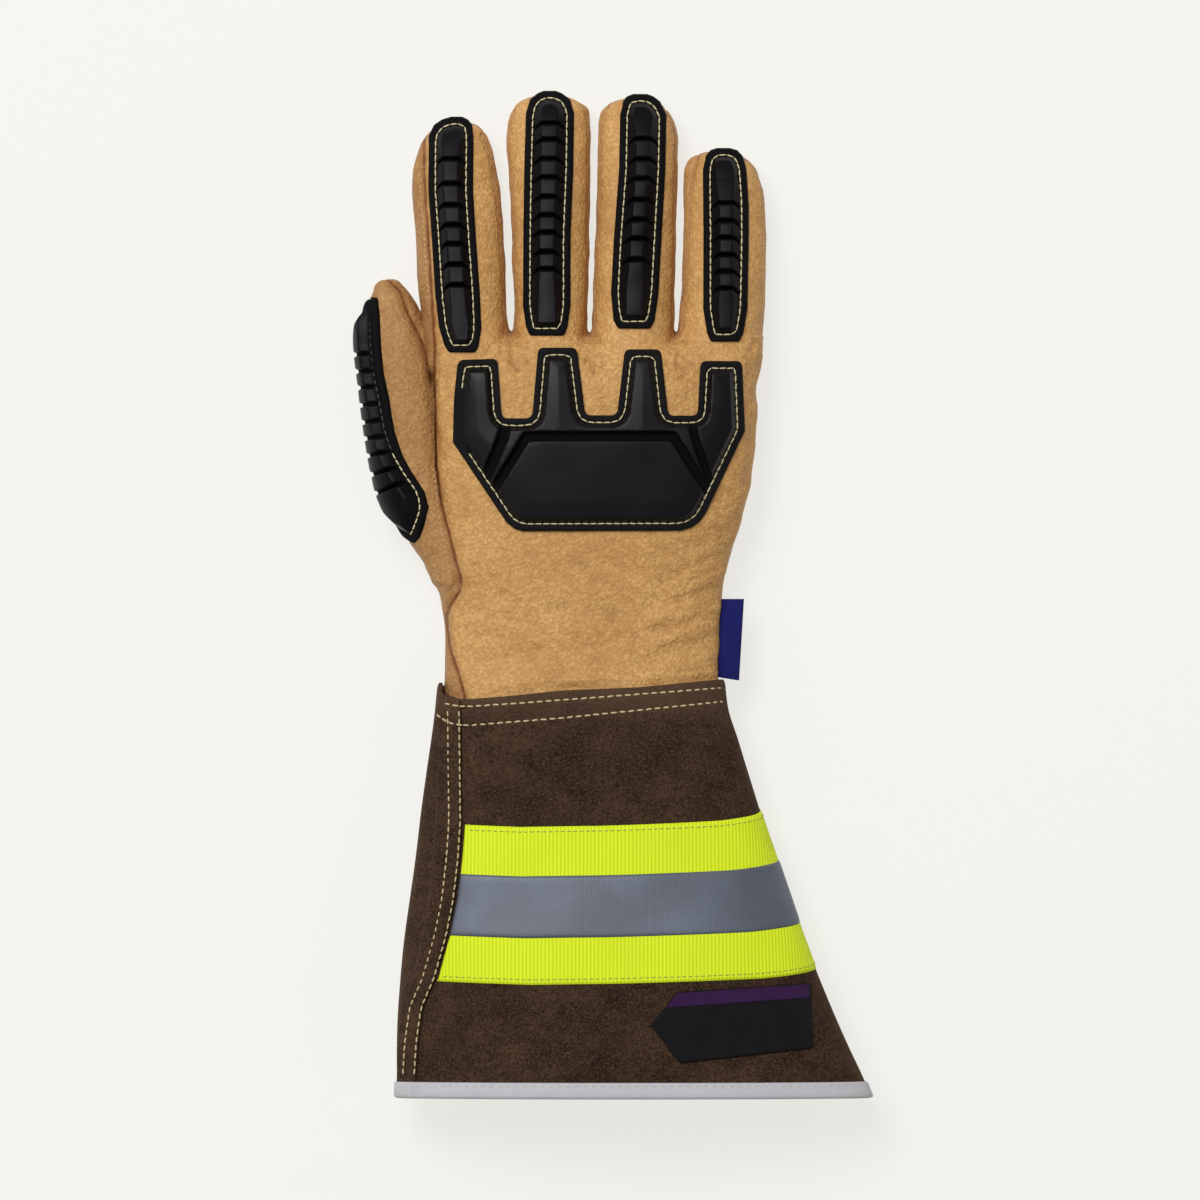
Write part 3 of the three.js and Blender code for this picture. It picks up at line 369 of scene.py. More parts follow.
def height_map(field):
    """Height of the upper skin over every column of the grid."""
    inside = field < 0
    top = G.shape[2] - 1 - np.argmax(inside[:, :, ::-1], axis=2)
    top = np.clip(top, 0, G.shape[2] - 2)
    i, j = np.meshgrid(range(G.shape[0]), range(G.shape[1]), indexing="ij")
    a, b = field[i, j, top], field[i, j, top + 1]
    z = G.low[2] + G.step * (top + a / np.minimum(a - b, -1e-6))
    return np.where(inside.any(axis=2), z, np.nan)


def soften(values, turns):
    filled = np.where(np.isnan(values), 0, values)
    weight = (~np.isnan(values)).astype(float)
    for _ in range(turns):
        for axis in (0, 1):
            filled = (np.roll(filled, 1, axis) + 2 * filled + np.roll(filled, -1, axis)) / 4
            weight = (np.roll(weight, 1, axis) + 2 * weight + np.roll(weight, -1, axis)) / 4
    return filled / np.maximum(weight, 1e-6)


skin_top = height_map(hand_skin)
pad_top = soften(skin_top, 10)
plate_top = soften(skin_top, 60)


def sample2(grid2, x, y):
    u = np.clip((x - G.low[0]) / G.step, 0, grid2.shape[0] - 1.001)
    v = np.clip((y - G.low[1]) / G.step, 0, grid2.shape[1] - 1.001)
    i, j = u.astype(int), v.astype(int)
    a, b = u - i, v - j
    return ((1 - a) * (1 - b) * grid2[i, j] + a * (1 - b) * grid2[i + 1, j]
            + (1 - a) * b * grid2[i, j + 1] + a * b * grid2[i + 1, j + 1])


def sample3(grid3, p):
    u = (p - G.low) / G.step
    u = np.clip(u, 0, np.array(grid3.shape) - 1.001)
    i = u.astype(int)
    f = u - i
    total = 0
    for dx in (0, 1):
        for dy in (0, 1):
            for dz in (0, 1):
                w = ((f[:, 0] if dx else 1 - f[:, 0]) * (f[:, 1] if dy else 1 - f[:, 1])
                     * (f[:, 2] if dz else 1 - f[:, 2]))
                total = total + w * grid3[i[:, 0] + dx, i[:, 1] + dy, i[:, 2] + dz]
    return total


# Meshes
def outward(points, sets):
    """The faces, turned over where the closed surface would look inwards."""
    volume = 0.0
    for faces in sets:
        for k in range(2, faces.shape[1]):
            a, b, c = (points[faces[:, i]] for i in (0, k - 1, k))
            volume += np.einsum("ij,ij->i", a, np.cross(b, c)).sum()
    return sets if volume > 0 else [f[:, ::-1] for f in sets]

def make_mesh(name, points, face_sets, material, replaced=(), floats=None, smooth=True):
    """A piece from points in millimetres; face_sets is a list of arrays of faces."""
    mesh = bpy.data.meshes.new(name)
    points = np.asarray(points, float)
    face_sets = [np.asarray(f, np.int32) for f in face_sets if len(f)]
    loops = np.concatenate([f.ravel() for f in face_sets])
    sizes = np.concatenate([np.full(len(f), f.shape[1], np.int32) for f in face_sets])
    starts = np.concatenate([[0], np.cumsum(sizes)[:-1]]).astype(np.int32)
    mesh.vertices.add(len(points))
    mesh.vertices.foreach_set("co", (points * MM).astype(np.float32).ravel())
    mesh.loops.add(len(loops))
    mesh.loops.foreach_set("vertex_index", loops)
    mesh.polygons.add(len(sizes))
    mesh.polygons.foreach_set("loop_start", starts)
    mesh.polygons.foreach_set("loop_total", sizes)
    mesh.polygons.foreach_set("use_smooth", np.full(len(sizes), smooth))
    for key, values in (floats or {}).items():
        layer = mesh.attributes.new(key, "FLOAT", "POINT")
        layer.data.foreach_set("value", np.asarray(values, np.float32))
    mesh.update(calc_edges=True)
    mesh.validate()
    obj = bpy.data.objects.new(name, mesh)
    bpy.context.scene.collection.objects.link(obj)
    mesh.materials.append(material)
    if replaced:
        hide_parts(*replaced)
    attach(obj, "root")
    return obj


def surface_of(field, low, step, adapt=0.0):
    """Points and faces of the zero surface of a block of distances."""
    field = np.pad(field, 1, constant_values=5.0)
    grid = openvdb.FloatGrid(5.0)
    grid.copyFromArray(np.ascontiguousarray(field, np.float32))
    points, triangles, quads = grid.convertToPolygons(isovalue=0.0, adaptivity=adapt)
    points = (np.asarray(points, float) - 1) * step + np.asarray(low)
    sets = [np.asarray(faces, np.int64) for faces in (triangles, quads) if len(faces)]
    return points, outward(points, sets)

def relax(points, sets, turns, amount=0.5):
    """Evens out the steps of a sampled surface."""
    edges = all_edges(sets)
    count = np.bincount(edges.ravel(), minlength=len(points)).astype(float)[:, None]
    for step in range(turns * 2):
        total = np.zeros_like(points)
        for axis in range(3):
            total[:, axis] = (np.bincount(edges[:, 0], points[edges[:, 1], axis], len(points))
                              + np.bincount(edges[:, 1], points[edges[:, 0], axis], len(points)))
        move = total / np.maximum(count, 1) - points
        points = points + move * (amount if step % 2 == 0 else -amount * 1.04)
    return points


def all_edges(sets):
    return np.concatenate([f[:, [a, (a + 1) % f.shape[1]]] for f in sets for a in range(f.shape[1])])


def without_specks(points, sets, least=60):
    """Drops the loose bits of a mesh that have few corners."""
    edges = all_edges(sets)
    label = np.arange(len(points))
    while True:
        ends = label[edges]
        linked = label.copy()
        for side in (0, 1):
            np.minimum.at(linked, ends[:, side], ends.min(axis=1))
        linked = linked[linked]
        if np.array_equal(linked, label):
            break
        label = linked
    keep = np.bincount(label, minlength=len(points))[label] >= least
    number = np.cumsum(keep) - 1
    return points[keep], [number[f[keep[f[:, 0]]]] for f in sets]


def spread(values, edges, count):
    """The mean of the neighbours of every point."""
    total = (np.bincount(edges[:, 0], values[edges[:, 1]], len(values))
             + np.bincount(edges[:, 1], values[edges[:, 0]], len(values)))
    return total / np.maximum(count, 1)


def hollowness(points, sets):
    """How far each point lies below its neighbours along the outward direction."""
    edges = all_edges(sets)
    count = np.bincount(edges.ravel(), minlength=len(points)).astype(float)
    normal = np.zeros_like(points)
    for faces in sets:
        a, b, c = (points[faces[:, k]] for k in range(3))
        across = np.cross(b - a, c - a)
        for k in range(faces.shape[1]):
            for axis in range(3):
                normal[:, axis] += np.bincount(faces[:, k], across[:, axis], len(points))
    normal /= np.maximum(np.linalg.norm(normal, axis=1), 1e-9)[:, None]
    mean = np.stack([spread(points[:, k], edges, count) for k in range(3)], axis=1)
    value = np.einsum("ij,ij->i", mean - points, normal)
    for _ in range(2):
        value = 0.5 * value + 0.5 * spread(value, edges, count)
    return value


# Places where the leather is crumpled: x, y, reach across, reach along, strength
CRUMPLED = [
    (-38, 88, 9, 13, 1.0), (-9, 86, 9, 14, 1.0), (23, 86, 9, 14, 1.0), (-22, 96, 10, 4, 0.5),
    (8, 96, 10, 4, 0.5), (-50, 93, 10, 5, 0.5), (40, 92, 9, 4, 0.5), (-35, 73, 6, 8, 0.9),
    (-5, 73, 6, 8, 0.9), (25, 73, 6, 8, 0.9), (49, 70, 4, 22, 0.8), (-64, 72, 4, 22, 0.5),
    (30, 8, 16, 12, 0.9), (24, -14, 18, 14, 0.8), (-46, 0, 16, 16, 0.5), (-10, -16, 30, 12, 0.5),
    (-63, 44, 5, 16, 0.6), (-74, 40, 8, 14, 0.7), (-76, 70, 9, 24, 0.5), (42, 34, 7, 20, 0.6),
]


def wrinkling(points):
    x, y, z = points.T
    value = np.zeros(len(points))
    for cx, cy, rx, ry, strength in CRUMPLED:
        value = np.maximum(value, strength * np.exp(-(((x - cx) / rx) ** 2) - ((y - cy) / ry) ** 2))
    return value * np.clip((z - 10) / 8, 0.2, 1)


def hand_piece(name, field, box, material, adapt=0.0, nodes=None, seam=side_gap, lap=gusset_gap):
    cut = G.part(*box)
    start = [G.axes[i][cut[i]][0] for i in range(3)]
    points, sets = without_specks(*surface_of(field[cut], start, G.step, adapt))
    points = relax(points, sets, 2)
    floats = {"seam": sample3(seam, points), "lap": sample3(lap, points),
              "hollow_shade": hollowness(points, sets), "wrinkle": wrinkling(points)}
    return make_mesh(name, points, sets, material, nodes or (name,), floats)

# Materials
def linear(rgb):
    c = np.array(rgb, float) / 255
    c = np.where(c <= 0.04045, c / 12.92, ((c + 0.055) / 1.055) ** 2.4)
    return (float(c[0]), float(c[1]), float(c[2]), 1.0)


class Shader:
    """A material built from nodes in object coordinates, in metres."""

    def __init__(self, name, roughness, specular=0.5):
        self.material = bpy.data.materials.new(name)
        self.material.use_nodes = True
        self.tree = self.material.node_tree
        self.surface = self.tree.nodes["Principled BSDF"]
        self.surface.inputs["Roughness"].default_value = roughness
        self.surface.inputs["Specular IOR Level"].default_value = specular
        self.coords = self.tree.nodes.new("ShaderNodeTexCoord").outputs["Object"]

    def link(self, a, b):
        self.tree.links.new(a, b)

    def put(self, socket, value):
        if hasattr(value, "is_linked"):
            self.link(value, socket)
        else:
            socket.default_value = value

    def stretched(self, scale, turn=0.0):
        node = self.tree.nodes.new("ShaderNodeMapping")
        node.inputs["Scale"].default_value = scale
        node.inputs["Rotation"].default_value = (0, 0, turn)
        self.link(self.coords, node.inputs["Vector"])
        return node.outputs[0]

    def noise(self, size, detail=3.0, rough=0.55, vector=None, warp=0.0):
        """Noise with features of about size, in millimetres, where no vector is given."""
        node = self.tree.nodes.new("ShaderNodeTexNoise")
        node.inputs["Scale"].default_value = 1.0 if vector is not None else 1000.0 / size
        node.inputs["Detail"].default_value = detail
        node.inputs["Roughness"].default_value = rough
        node.inputs["Distortion"].default_value = warp
        self.link(vector if vector is not None else self.coords, node.inputs["Vector"])
        return node.outputs["Fac"]

    def cells(self, size, smooth):
        """Soft cells of about size, in millimetres."""
        node = self.tree.nodes.new("ShaderNodeTexVoronoi")
        node.feature = "SMOOTH_F1"
        node.inputs["Scale"].default_value = 1000.0 / size
        node.inputs["Smoothness"].default_value = smooth
        self.link(self.coords, node.inputs["Vector"])
        return node.outputs["Distance"]

    def value(self, name):
        node = self.tree.nodes.new("ShaderNodeAttribute")
        node.attribute_name = name
        return node.outputs["Fac"]

    def math(self, kind, a, b=0.0):
        node = self.tree.nodes.new("ShaderNodeMath")
        node.operation = kind
        for socket, value in zip(node.inputs, (a, b)):
            self.put(socket, value)
        return node.outputs[0]

    def times(self, a, b):
        return self.math("MULTIPLY", a, b)

    def plus(self, a, b):
        return self.math("ADD", a, b)

    def wave(self, name, pitch):
        """A sine along an attribute."""
        return self.math("SINE", self.times(self.value(name), 2 * math.pi / pitch))

    def span(self, value, low, high, out_low=0.0, out_high=1.0):
        node = self.tree.nodes.new("ShaderNodeMapRange")
        for key, number in (("From Min", low), ("From Max", high), ("To Min", out_low), ("To Max", out_high)):
            node.inputs[key].default_value = number
        self.put(node.inputs["Value"], value)
        return node.outputs["Result"]

    def ramp(self, value, stops):
        node = self.tree.nodes.new("ShaderNodeValToRGB")
        ramp = node.color_ramp
        while len(ramp.elements) < len(stops):
            ramp.elements.new(0.5)
        for element, (place, rgb) in zip(ramp.elements, stops):
            element.position = place
            element.color = linear(rgb)
        self.put(node.inputs["Fac"], value)
        return node.outputs["Color"]

    def tint(self, color, value, low, high, share, other):
        """Mixes in a share of another colour as the value goes from low to high."""
        return self.mix(self.span(value, low, high, 0.0, share), color, other)

    def mix(self, share, a, b):
        node = self.tree.nodes.new("ShaderNodeMix")
        node.data_type = "RGBA"
        self.put(node.inputs[0], share)
        for socket, value in ((node.inputs[6], a), (node.inputs[7], b)):
            self.put(socket, linear(value) if isinstance(value, tuple) and len(value) == 3 else value)
        return node.outputs[2]

    def bump(self, height, depth, strength=1.0, under=None):
        """Relief of the given depth in millimetres."""
        node = self.tree.nodes.new("ShaderNodeBump")
        node.inputs["Strength"].default_value = strength
        node.inputs["Distance"].default_value = depth * MM
        self.put(node.inputs["Height"], height)
        if under is not None:
            self.link(under, node.inputs["Normal"])
        return node.outputs["Normal"]

    def finish(self, color, normal=None, roughness=None):
        self.put(self.surface.inputs["Base Color"], color)
        if normal is not None:
            self.link(normal, self.surface.inputs["Normal"])
        if roughness is not None:
            self.link(roughness, self.surface.inputs["Roughness"])
        return self.material


def leather(name, light, middle, dark):
    s = Shader(name, 0.6, 0.32)
    broad = s.noise(26, 4, 0.6)
    small = s.noise(4.5, 4, 0.65)
    fibre = s.noise(1.3, 2, 0.6)
    pebble = s.cells(1.35, smooth=0.35)
    crinkle = s.noise(1.7, 4, 0.7, warp=0.5)
    tone = s.plus(s.times(broad, 0.5), s.times(small, 0.5))
    color = s.ramp(tone, [(0.36, dark), (0.5, middle), (0.64, light)])
    color = s.tint(color, pebble, 0.25, 0.6, 0.6, dark)
    color = s.tint(color, crinkle, 0.48, 0.66, 0.45, dark)
    color = s.tint(color, crinkle, 0.47, 0.3, 0.55, light)
    scuffs = s.noise(1, 3, 0.6, s.stretched((160, 60, 160), 0.6))
    color = s.tint(color, scuffs, 0.62, 0.78, 0.25, dark)
    hollow_shade = s.value("hollow_shade")
    # Painted shade: the leather's colour is darkened in the skin's hollows and creases.
    color = s.tint(color, hollow_shade, 0.015, 0.09, 0.6, (128, 86, 46))
    seam = s.plus(s.value("seam"), s.span(small, 0.3, 0.7, -0.2, 0.2))
    # Painted shade: a soft darker band either side of the seam. The narrow dark core below is the raw edge's
    # own colour.
    color = s.tint(color, seam, 3.0, 0.6, 0.35, (146, 98, 54))
    color = s.tint(color, seam, 0.75, 0.4, 0.9, (124, 68, 32))
    color = s.tint(color, s.value("lap"), 0.9, 0.3, 0.35, (130, 88, 48))
    grain = s.math("SUBTRACT", s.times(fibre, 0.4), pebble)
    normal = s.bump(grain, 0.38, 0.85)
    normal = s.bump(crinkle, 0.45, 0.65, normal)
    folds = s.math("ABSOLUTE", s.math("SUBTRACT", s.noise(5.4, 2, 0.5, warp=0.9), 0.5))
    folds = s.times(s.span(folds, 0.0, 0.12), s.value("wrinkle"))
    crumple = s.times(s.noise(3, 2, 0.6, warp=0.5), s.value("wrinkle"))
    normal = s.bump(s.plus(folds, crumple), 0.45, 0.6, normal)
    return s.finish(color, normal, s.span(small, 0.3, 0.7, 0.54, 0.68))


def suede(name, light, middle, dark):
    s = Shader(name, 0.95, 0.1)
    brushed = s.noise(1, 4, 0.65, s.stretched((90, 130, 100), 0.5), 0.4)
    broad = s.noise(34, 3, 0.6)
    nap = s.noise(1.5, 4, 0.8)
    speck = s.noise(0.8, 2, 0.7)
    tone = s.plus(s.times(brushed, 0.35), s.times(broad, 0.3))
    tone = s.plus(tone, s.times(nap, 0.35))
    color = s.ramp(tone, [(0.4, dark), (0.5, middle), (0.6, light)])
    color = s.tint(color, nap, 0.49, 0.61, 0.88, (26, 17, 11))
    color = s.tint(color, speck, 0.48, 0.66, 0.45, (104, 79, 60))
    color = s.tint(color, s.value("hem"), 136, 146, 0.35, (104, 80, 62))
    s.surface.inputs["Sheen Weight"].default_value = 0.22
    s.surface.inputs["Sheen Roughness"].default_value = 0.5
    s.surface.inputs["Sheen Tint"].default_value = linear((150, 118, 92))
    normal = s.bump(nap, 0.5, 0.7)
    normal = s.bump(s.noise(4, 3, 0.6), 0.4, 0.4, normal)
    return s.finish(color, normal)


def rubber(name, specular):
    s = Shader(name, 0.42, specular)
    cloud = s.noise(18, 3, 0.55)
    fine = s.noise(0.9, 2, 0.6)
    color = s.ramp(cloud, [(0.35, (12, 11, 14)), (0.65, (18, 17, 21))])
    dust = s.noise(2.4, 4, 0.75)
    color = s.tint(color, dust, 0.64, 0.8, 0.16, (62, 60, 64))
    rim = s.value("rim")
    color = s.tint(color, rim, 0.4, 0.6, 0.6, (15, 14, 15))
    deep = s.value("deep")
    # Painted shade: near-black colour deep in the grooves and channels and at the foot of the ribs.
    color = s.tint(color, deep, 0.2, 0.9, 0.95, (2, 2, 2))
    dull = s.math("MAXIMUM", s.times(rim, 0.75), deep)
    rough = s.span(s.plus(s.times(cloud, 0.3), dull), 0.1, 1.2, 0.38, 0.95)
    normal = s.bump(fine, 0.05, 0.5)
    return s.finish(color, normal, rough)


def lime(name):
    s = Shader(name, 0.75, 0.25)
    rib = s.wave("along", 1.4)
    weft = s.wave("down", 0.6)
    color = s.mix(s.span(rib, -0.8, 0.8, 0.0, 1.0), (206, 227, 22), (232, 250, 42))
    color = s.tint(color, s.noise(14, 3), 0.38, 0.7, 0.3, (210, 230, 30))
    height = s.plus(rib, s.times(weft, 0.3))
    return s.finish(color, s.bump(height, 0.08, 0.8))


def silver(name):
    s = Shader(name, 0.5, 0.5)
    beads = s.cells(0.45, smooth=0.3)
    broad = s.noise(22, 3)
    color = s.ramp(broad, [(0.35, (90, 96, 108)), (0.65, (104, 111, 124))])
    color = s.tint(color, beads, 0.1, 0.5, 0.3, (74, 80, 92))
    rib = s.wave("along", 0.95)
    s.surface.inputs["Metallic"].default_value = 0.25
    normal = s.bump(beads, 0.06, 0.6)
    return s.finish(color, s.bump(rib, 0.015, 0.6, normal))


def woven(name, light, dark, pitch, depth=0.1):
    s = Shader(name, 0.85, 0.2)
    a = s.wave("along", pitch)
    b = s.wave("down", pitch)
    weave = s.times(a, b)
    color = s.mix(s.span(weave, -1, 1), light, dark)
    color = s.tint(color, s.noise(6, 3), 0.35, 0.7, 0.35, dark)
    return s.finish(color, s.bump(weave, depth, 0.8))


def thread(name, light, dark):
    s = Shader(name, 0.7, 0.3)
    twist = s.wave("twist", 1)
    color = s.mix(s.span(twist, -1, 1, 0.0, 0.6), light, dark)
    return s.finish(color, s.bump(twist, 0.08, 0.7))


TAN = leather("tan_grain_leather", (229, 181, 115), (214, 166, 101), (184, 134, 76))
# Painted shade: a darker copy of the tan leather for the palm strip and thumb, where shade falls.
PALM_TAN_SHADED = leather("palm_leather_painted_shade", (200, 154, 98), (186, 140, 86), (158, 113, 64))
# Painted light: a copy of the tan leather for the gussets, brightened against the shade between the fingers.
SIDE_TAN_LIGHTENED = leather("side_wall_leather_painted_light", (224, 176, 116), (212, 164, 106), (186, 138, 84))
SUEDE_BACK = suede("brown_suede", (76, 56, 42), (57, 41, 31), (34, 23, 16))
SUEDE_PALM = suede("brown_suede_wrap", (80, 60, 45), (62, 45, 34), (40, 28, 20))
RUBBER = rubber("moulded_black_rubber", 0.17)
RIB_RUBBER = rubber("ribbed_black_rubber", 0.09)
LIME = lime("lime_ribbed_ribbon")
SILVER = silver("silver_bead_tape")
BINDING_GREY = woven("pale_binding_tape", (212, 211, 214), (182, 181, 186), 0.9)
PATCH_BLACK = woven("black_woven_patch", (22, 21, 25), (9, 8, 11), 0.9)
PATCH_PURPLE = woven("purple_woven_band", (66, 30, 84), (36, 14, 48), 0.9)
NAVY = woven("navy_woven_tag", (34, 38, 118), (16, 18, 76), 0.9)
CREAM = thread("cream_thread", (232, 222, 178), (180, 166, 118))
CUFF_CREAM = thread("cuff_thread", (222, 205, 158), (158, 140, 98))
OLIVE = thread("olive_thread", (176, 176, 96), (130, 128, 62))
BUFF = thread("buff_thread", (226, 192, 146), (172, 134, 88))
PALE_THREAD = thread("pale_thread", (196, 192, 184), (160, 157, 152))
GREY_THREAD = thread("worn_grey_thread", (96, 90, 78), (50, 46, 40))

# Hand, gussets and thumb
SEAM_ROUND = 0.45
PALM_UNDER, GUSSET_UNDER = 1.2, 0.5  # how far they reach past the back's edge
THUMB_UNDER, THUMB_CLEAR = 1.3, 0.1  # how deep the thumb sits in the palm, and its gap to the seam
HAND_BOX = ((-80, -48, -4), (60, 192, 44))
THUMB_BOX = ((-100, 0, -4), (-40, 121, 40))
back_field = smax(smax(shell, region_back, SEAM_ROUND), -any_gusset, SEAM_ROUND)
palm_field = smax(smax(palm_shell, -region_back - PALM_UNDER, SEAM_ROUND), -any_gusset, SEAM_ROUND)
for face, field, skin in (("back", back_field, TAN), ("palm", palm_field, PALM_TAN_SHADED)):
    nodes = [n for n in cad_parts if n.startswith(face + "_")]
    hand_piece(f"{face}_panel", field, HAND_BOX, skin, 0.01, nodes)
for gusset, region in gusset_regions.items():
    xs = [p[0] for p in GUSSETS[gusset]]
    box = ((min(xs) - 4, 80, -4), (max(xs) + 4, 190, 44))
    hand_piece(f"gusset_{gusset}", smax(shell, region - GUSSET_UNDER, 0.3), box, SIDE_TAN_LIGHTENED)
# Width of the web that joins thumb and palm, less beside the back's seam
web = 3.2 - 2.4 * np.clip((G.y - 66) / 16, 0, 1) + 3 * np.clip((14 - G.y) / 10, 0, 1)
web = (web * np.clip(back_flat / 3.5, 0.15, 1)).astype(np.float32)
joined = smax(smin(thumb_skin, lowered, web), thumb_skin - 0.8 * web, 0.4)
thumb_field = np.maximum(np.maximum(joined, -thumb_void), -(lowered + THUMB_UNDER))
thumb_field = smax(thumb_field, THUMB_CLEAR - back_flat, 0.3)
hand_piece("thumb_shell", thumb_field, THUMB_BOX, PALM_TAN_SHADED, seam=thumb_gap,
           lap=np.full(G.shape, AWAY, np.float32))

# Cuff: points on a limp sleeve whose sections lie across Y
def cuff_wave(y, angle):
    """Slow waves of the suede, faded out at the wrist."""
    a = np.radians(angle)
    wave = 0.5 * np.sin(2.2 * a + y / 23) + 0.35 * np.sin(5 * a - y / 17 + 1) + 0.25 * np.sin(9 * a + y / 9)
    return wave * np.clip((-38 - y) / 20, 0, 1) * 0.6


def section_points(rows, y, angle, out):
    """Points round the sections of a table, at a distance out and above the floor."""
    y, angle, out = np.broadcast_arrays(*(np.asarray(v, float) for v in (y, angle, out)))
    s = smooth_rows(rows, y)
    cx, half, cz, high = middle_and_half(s)
    power = 2 / s[..., 5]
    c, d = np.cos(np.radians(angle)), np.sin(np.radians(angle))
    x = cx + (half + out) * np.sign(c) * np.abs(c) ** power
    z = cz + (high + out) * np.sign(d) * np.abs(d) ** power
    low = (s[..., 6] if s.shape[-1] > 6 else 0) - out
    return np.stack([x, y, np.maximum(z, np.maximum(low, 0.05))], axis=-1)

def cuff_points(y, angle, out):
    return section_points(CUFF, y, angle, out + cuff_wave(y, angle))

def angle_at_x(rows, y, x):
    """The angle at which the upper half of a section passes over x."""
    s = smooth_rows(rows, y)
    cx, half = middle_and_half(s)[:2]
    u = np.clip((x - cx) / half, -1, 1)
    return np.degrees(np.arccos(np.sign(u) * np.abs(u) ** (s[..., 5] / 2)))

def lap_angle(y):
    return angle_at_x(CUFF, y, curve(LAP_EDGE, y))

def angle_after(y, start, distance, out):
    """The angle reached after a distance round the cuff."""
    angle = np.array(start, float)
    gone = np.zeros_like(angle)
    here = section_points(CUFF, y, angle, out)
    for _ in range(120):
        short = gone < distance
        step = np.where(short, 0.5, 0)
        there = section_points(CUFF, y, angle + step, out)
        gone = gone + np.hypot(there[..., 0] - here[..., 0], there[..., 2] - here[..., 2])
        angle, here = angle + step, there
    return angle


def plate(name, top, bottom, material, replaced=(), floats=None):
    """A closed sheet between two grids of points, [row, column]."""
    rows, columns = top.shape[:2]
    index = np.arange(rows * columns).reshape(rows, columns)
    under = index + rows * columns

    def quads(grid):
        corners = [grid[:-1, :-1], grid[:-1, 1:], grid[1:, 1:], grid[1:, :-1]]
        return np.stack(corners, axis=-1).reshape(-1, 4)

    parts = [quads(index), quads(under)[:, ::-1]]
    for a, b in ((index[0], under[0]), (index[:, -1], under[:, -1]),
                 (index[-1, ::-1], under[-1, ::-1]), (index[::-1, 0], under[::-1, 0])):
        parts.append(np.stack([a[1:], a[:-1], b[:-1], b[1:]], axis=-1))
    points = np.concatenate([top.reshape(-1, 3), bottom.reshape(-1, 3)])
    values = {k: np.concatenate([v.ravel(), v.ravel()]) for k, v in (floats or {}).items()}
    faces = outward(points, [np.concatenate(parts)])
    return make_mesh(name, points, faces, material, replaced, values)

def edge_rounding(rows, columns, reach, amount):
    """How far the outer rows and columns of a sheet draw in, for a soft edge."""
    j = np.minimum(np.arange(rows), np.arange(rows)[::-1])[:, None]
    i = np.minimum(np.arange(columns), np.arange(columns)[::-1])[None, :]
    return amount * np.clip(1 - np.minimum(i, j) / reach, 0, 1) ** 2


FOLD_ANGLE = -24.0
CUFF_LAP = 7.5


def cuff_rows_at(count, angle_of):
    """Heights down the cuff for each column, following its upper edge."""
    t = np.linspace(0, 1, count)[:, None]
    start_angle = angle_of(np.array([-38.0]))[0]
    x = section_points(CUFF, -36.0, start_angle, SUEDE)[..., 0]
    top = np.where(start_angle > 190, -34.0, curve(CUFF_TOP, x))
    return top[None, :] * (1 - t) + HEM_Y * t


def sleeve(name, angle_of, raise_of, count, suede_of):
    """angle_of(y) gives [row, column] angles for a column of heights."""
    y = cuff_rows_at(count, angle_of)
    angle = np.empty_like(y)
    lift = np.empty_like(y)
    for j in range(len(y)):
        grid = angle_of(y[j])
        k = np.arange(grid.shape[1])
        angle[j] = grid[k, k] if grid.shape[0] == grid.shape[1] else grid[0]
        lift[j] = raise_of(grid.shape[1])
    soft = edge_rounding(*y.shape, 2.0, 0.5)
    top = cuff_points(y, angle, SUEDE + lift - soft)
    bottom = cuff_points(y, angle, lift + soft * 0.6)
    return plate(name, top, bottom, suede_of, (name,), {"hem": y - HEM_Y})


BACK_COLUMNS = 130
PALM_COLUMNS = 130
LAP_SHARE = 14


def back_angles(y):
    y = np.asarray(y, float)
    tail = angle_after(y, lap_angle(y), CUFF_LAP, SUEDE)
    t = np.linspace(0, 1, BACK_COLUMNS)
    return FOLD_ANGLE + (tail[:, None] - FOLD_ANGLE) * t[None, :]


def palm_angles(y):
    y = np.asarray(y, float)
    start = lap_angle(y)
    flat = angle_after(y, start, CUFF_LAP + GAP * 2, SUEDE)
    low = angle_after(y, flat, 3, SUEDE)
    a = start[:, None] + (flat - start)[:, None] * np.linspace(0, 1, LAP_SHARE)[None, :-1]
    b = flat[:, None] + (low - flat)[:, None] * np.linspace(0, 1, 6)[None, :-1]
    rest = PALM_COLUMNS - a.shape[1] - b.shape[1]
    c = low[:, None] + (360.5 + FOLD_ANGLE - low)[:, None] * np.linspace(0, 1, rest)[None, :]
    return np.concatenate([a, b, c], axis=1)


def palm_lift(count):
    t = np.concatenate([np.ones(LAP_SHARE - 1), np.linspace(1, 0, 6)[:-1]])
    t = t * t * (3 - 2 * t)
    return np.concatenate([t, np.zeros(count - len(t))]) * (SUEDE + GAP)


sleeve("cuff_back", back_angles, lambda n: np.zeros(n), 120, SUEDE_BACK)
sleeve("cuff_palm", palm_angles, palm_lift, 120, SUEDE_PALM)

# Ribbon and strip, which climb towards the right side of the cuff
CLIMB = [(-30, 8), (0, 5.6), (45, 1.9), (90, 0), (110, -0.4), (160, 1.4)]  # (angle, lift)


def band_points(flat_y, share, start, out):
    edge = lap_angle(flat_y) - start
    angle = FOLD_ANGLE + (edge - FOLD_ANGLE) * share
    y = flat_y + curve(CLIMB, angle)
    angle = np.minimum(angle, lap_angle(y) - start)
    return cuff_points(y, angle, out)


def band(name, top, bottom, low, thick, start, rows, material):
    share, flat = np.meshgrid(np.linspace(0, 1, 200), np.linspace(top, bottom, rows))
    soft = edge_rounding(*flat.shape, 2.0, 0.25)
    upper = band_points(flat, share, start, low + thick - soft)
    lower = band_points(flat, share, start, np.full_like(flat, low))
    step = np.linalg.norm(np.diff(upper, axis=1), axis=2)
    along = np.concatenate([np.zeros((rows, 1)), np.cumsum(step, axis=1)], axis=1)
    along = along - along[:, 100:101] - upper[:, 100:101, 0]
    return plate(name, upper, lower, material, (name,), {"along": along, "down": flat})


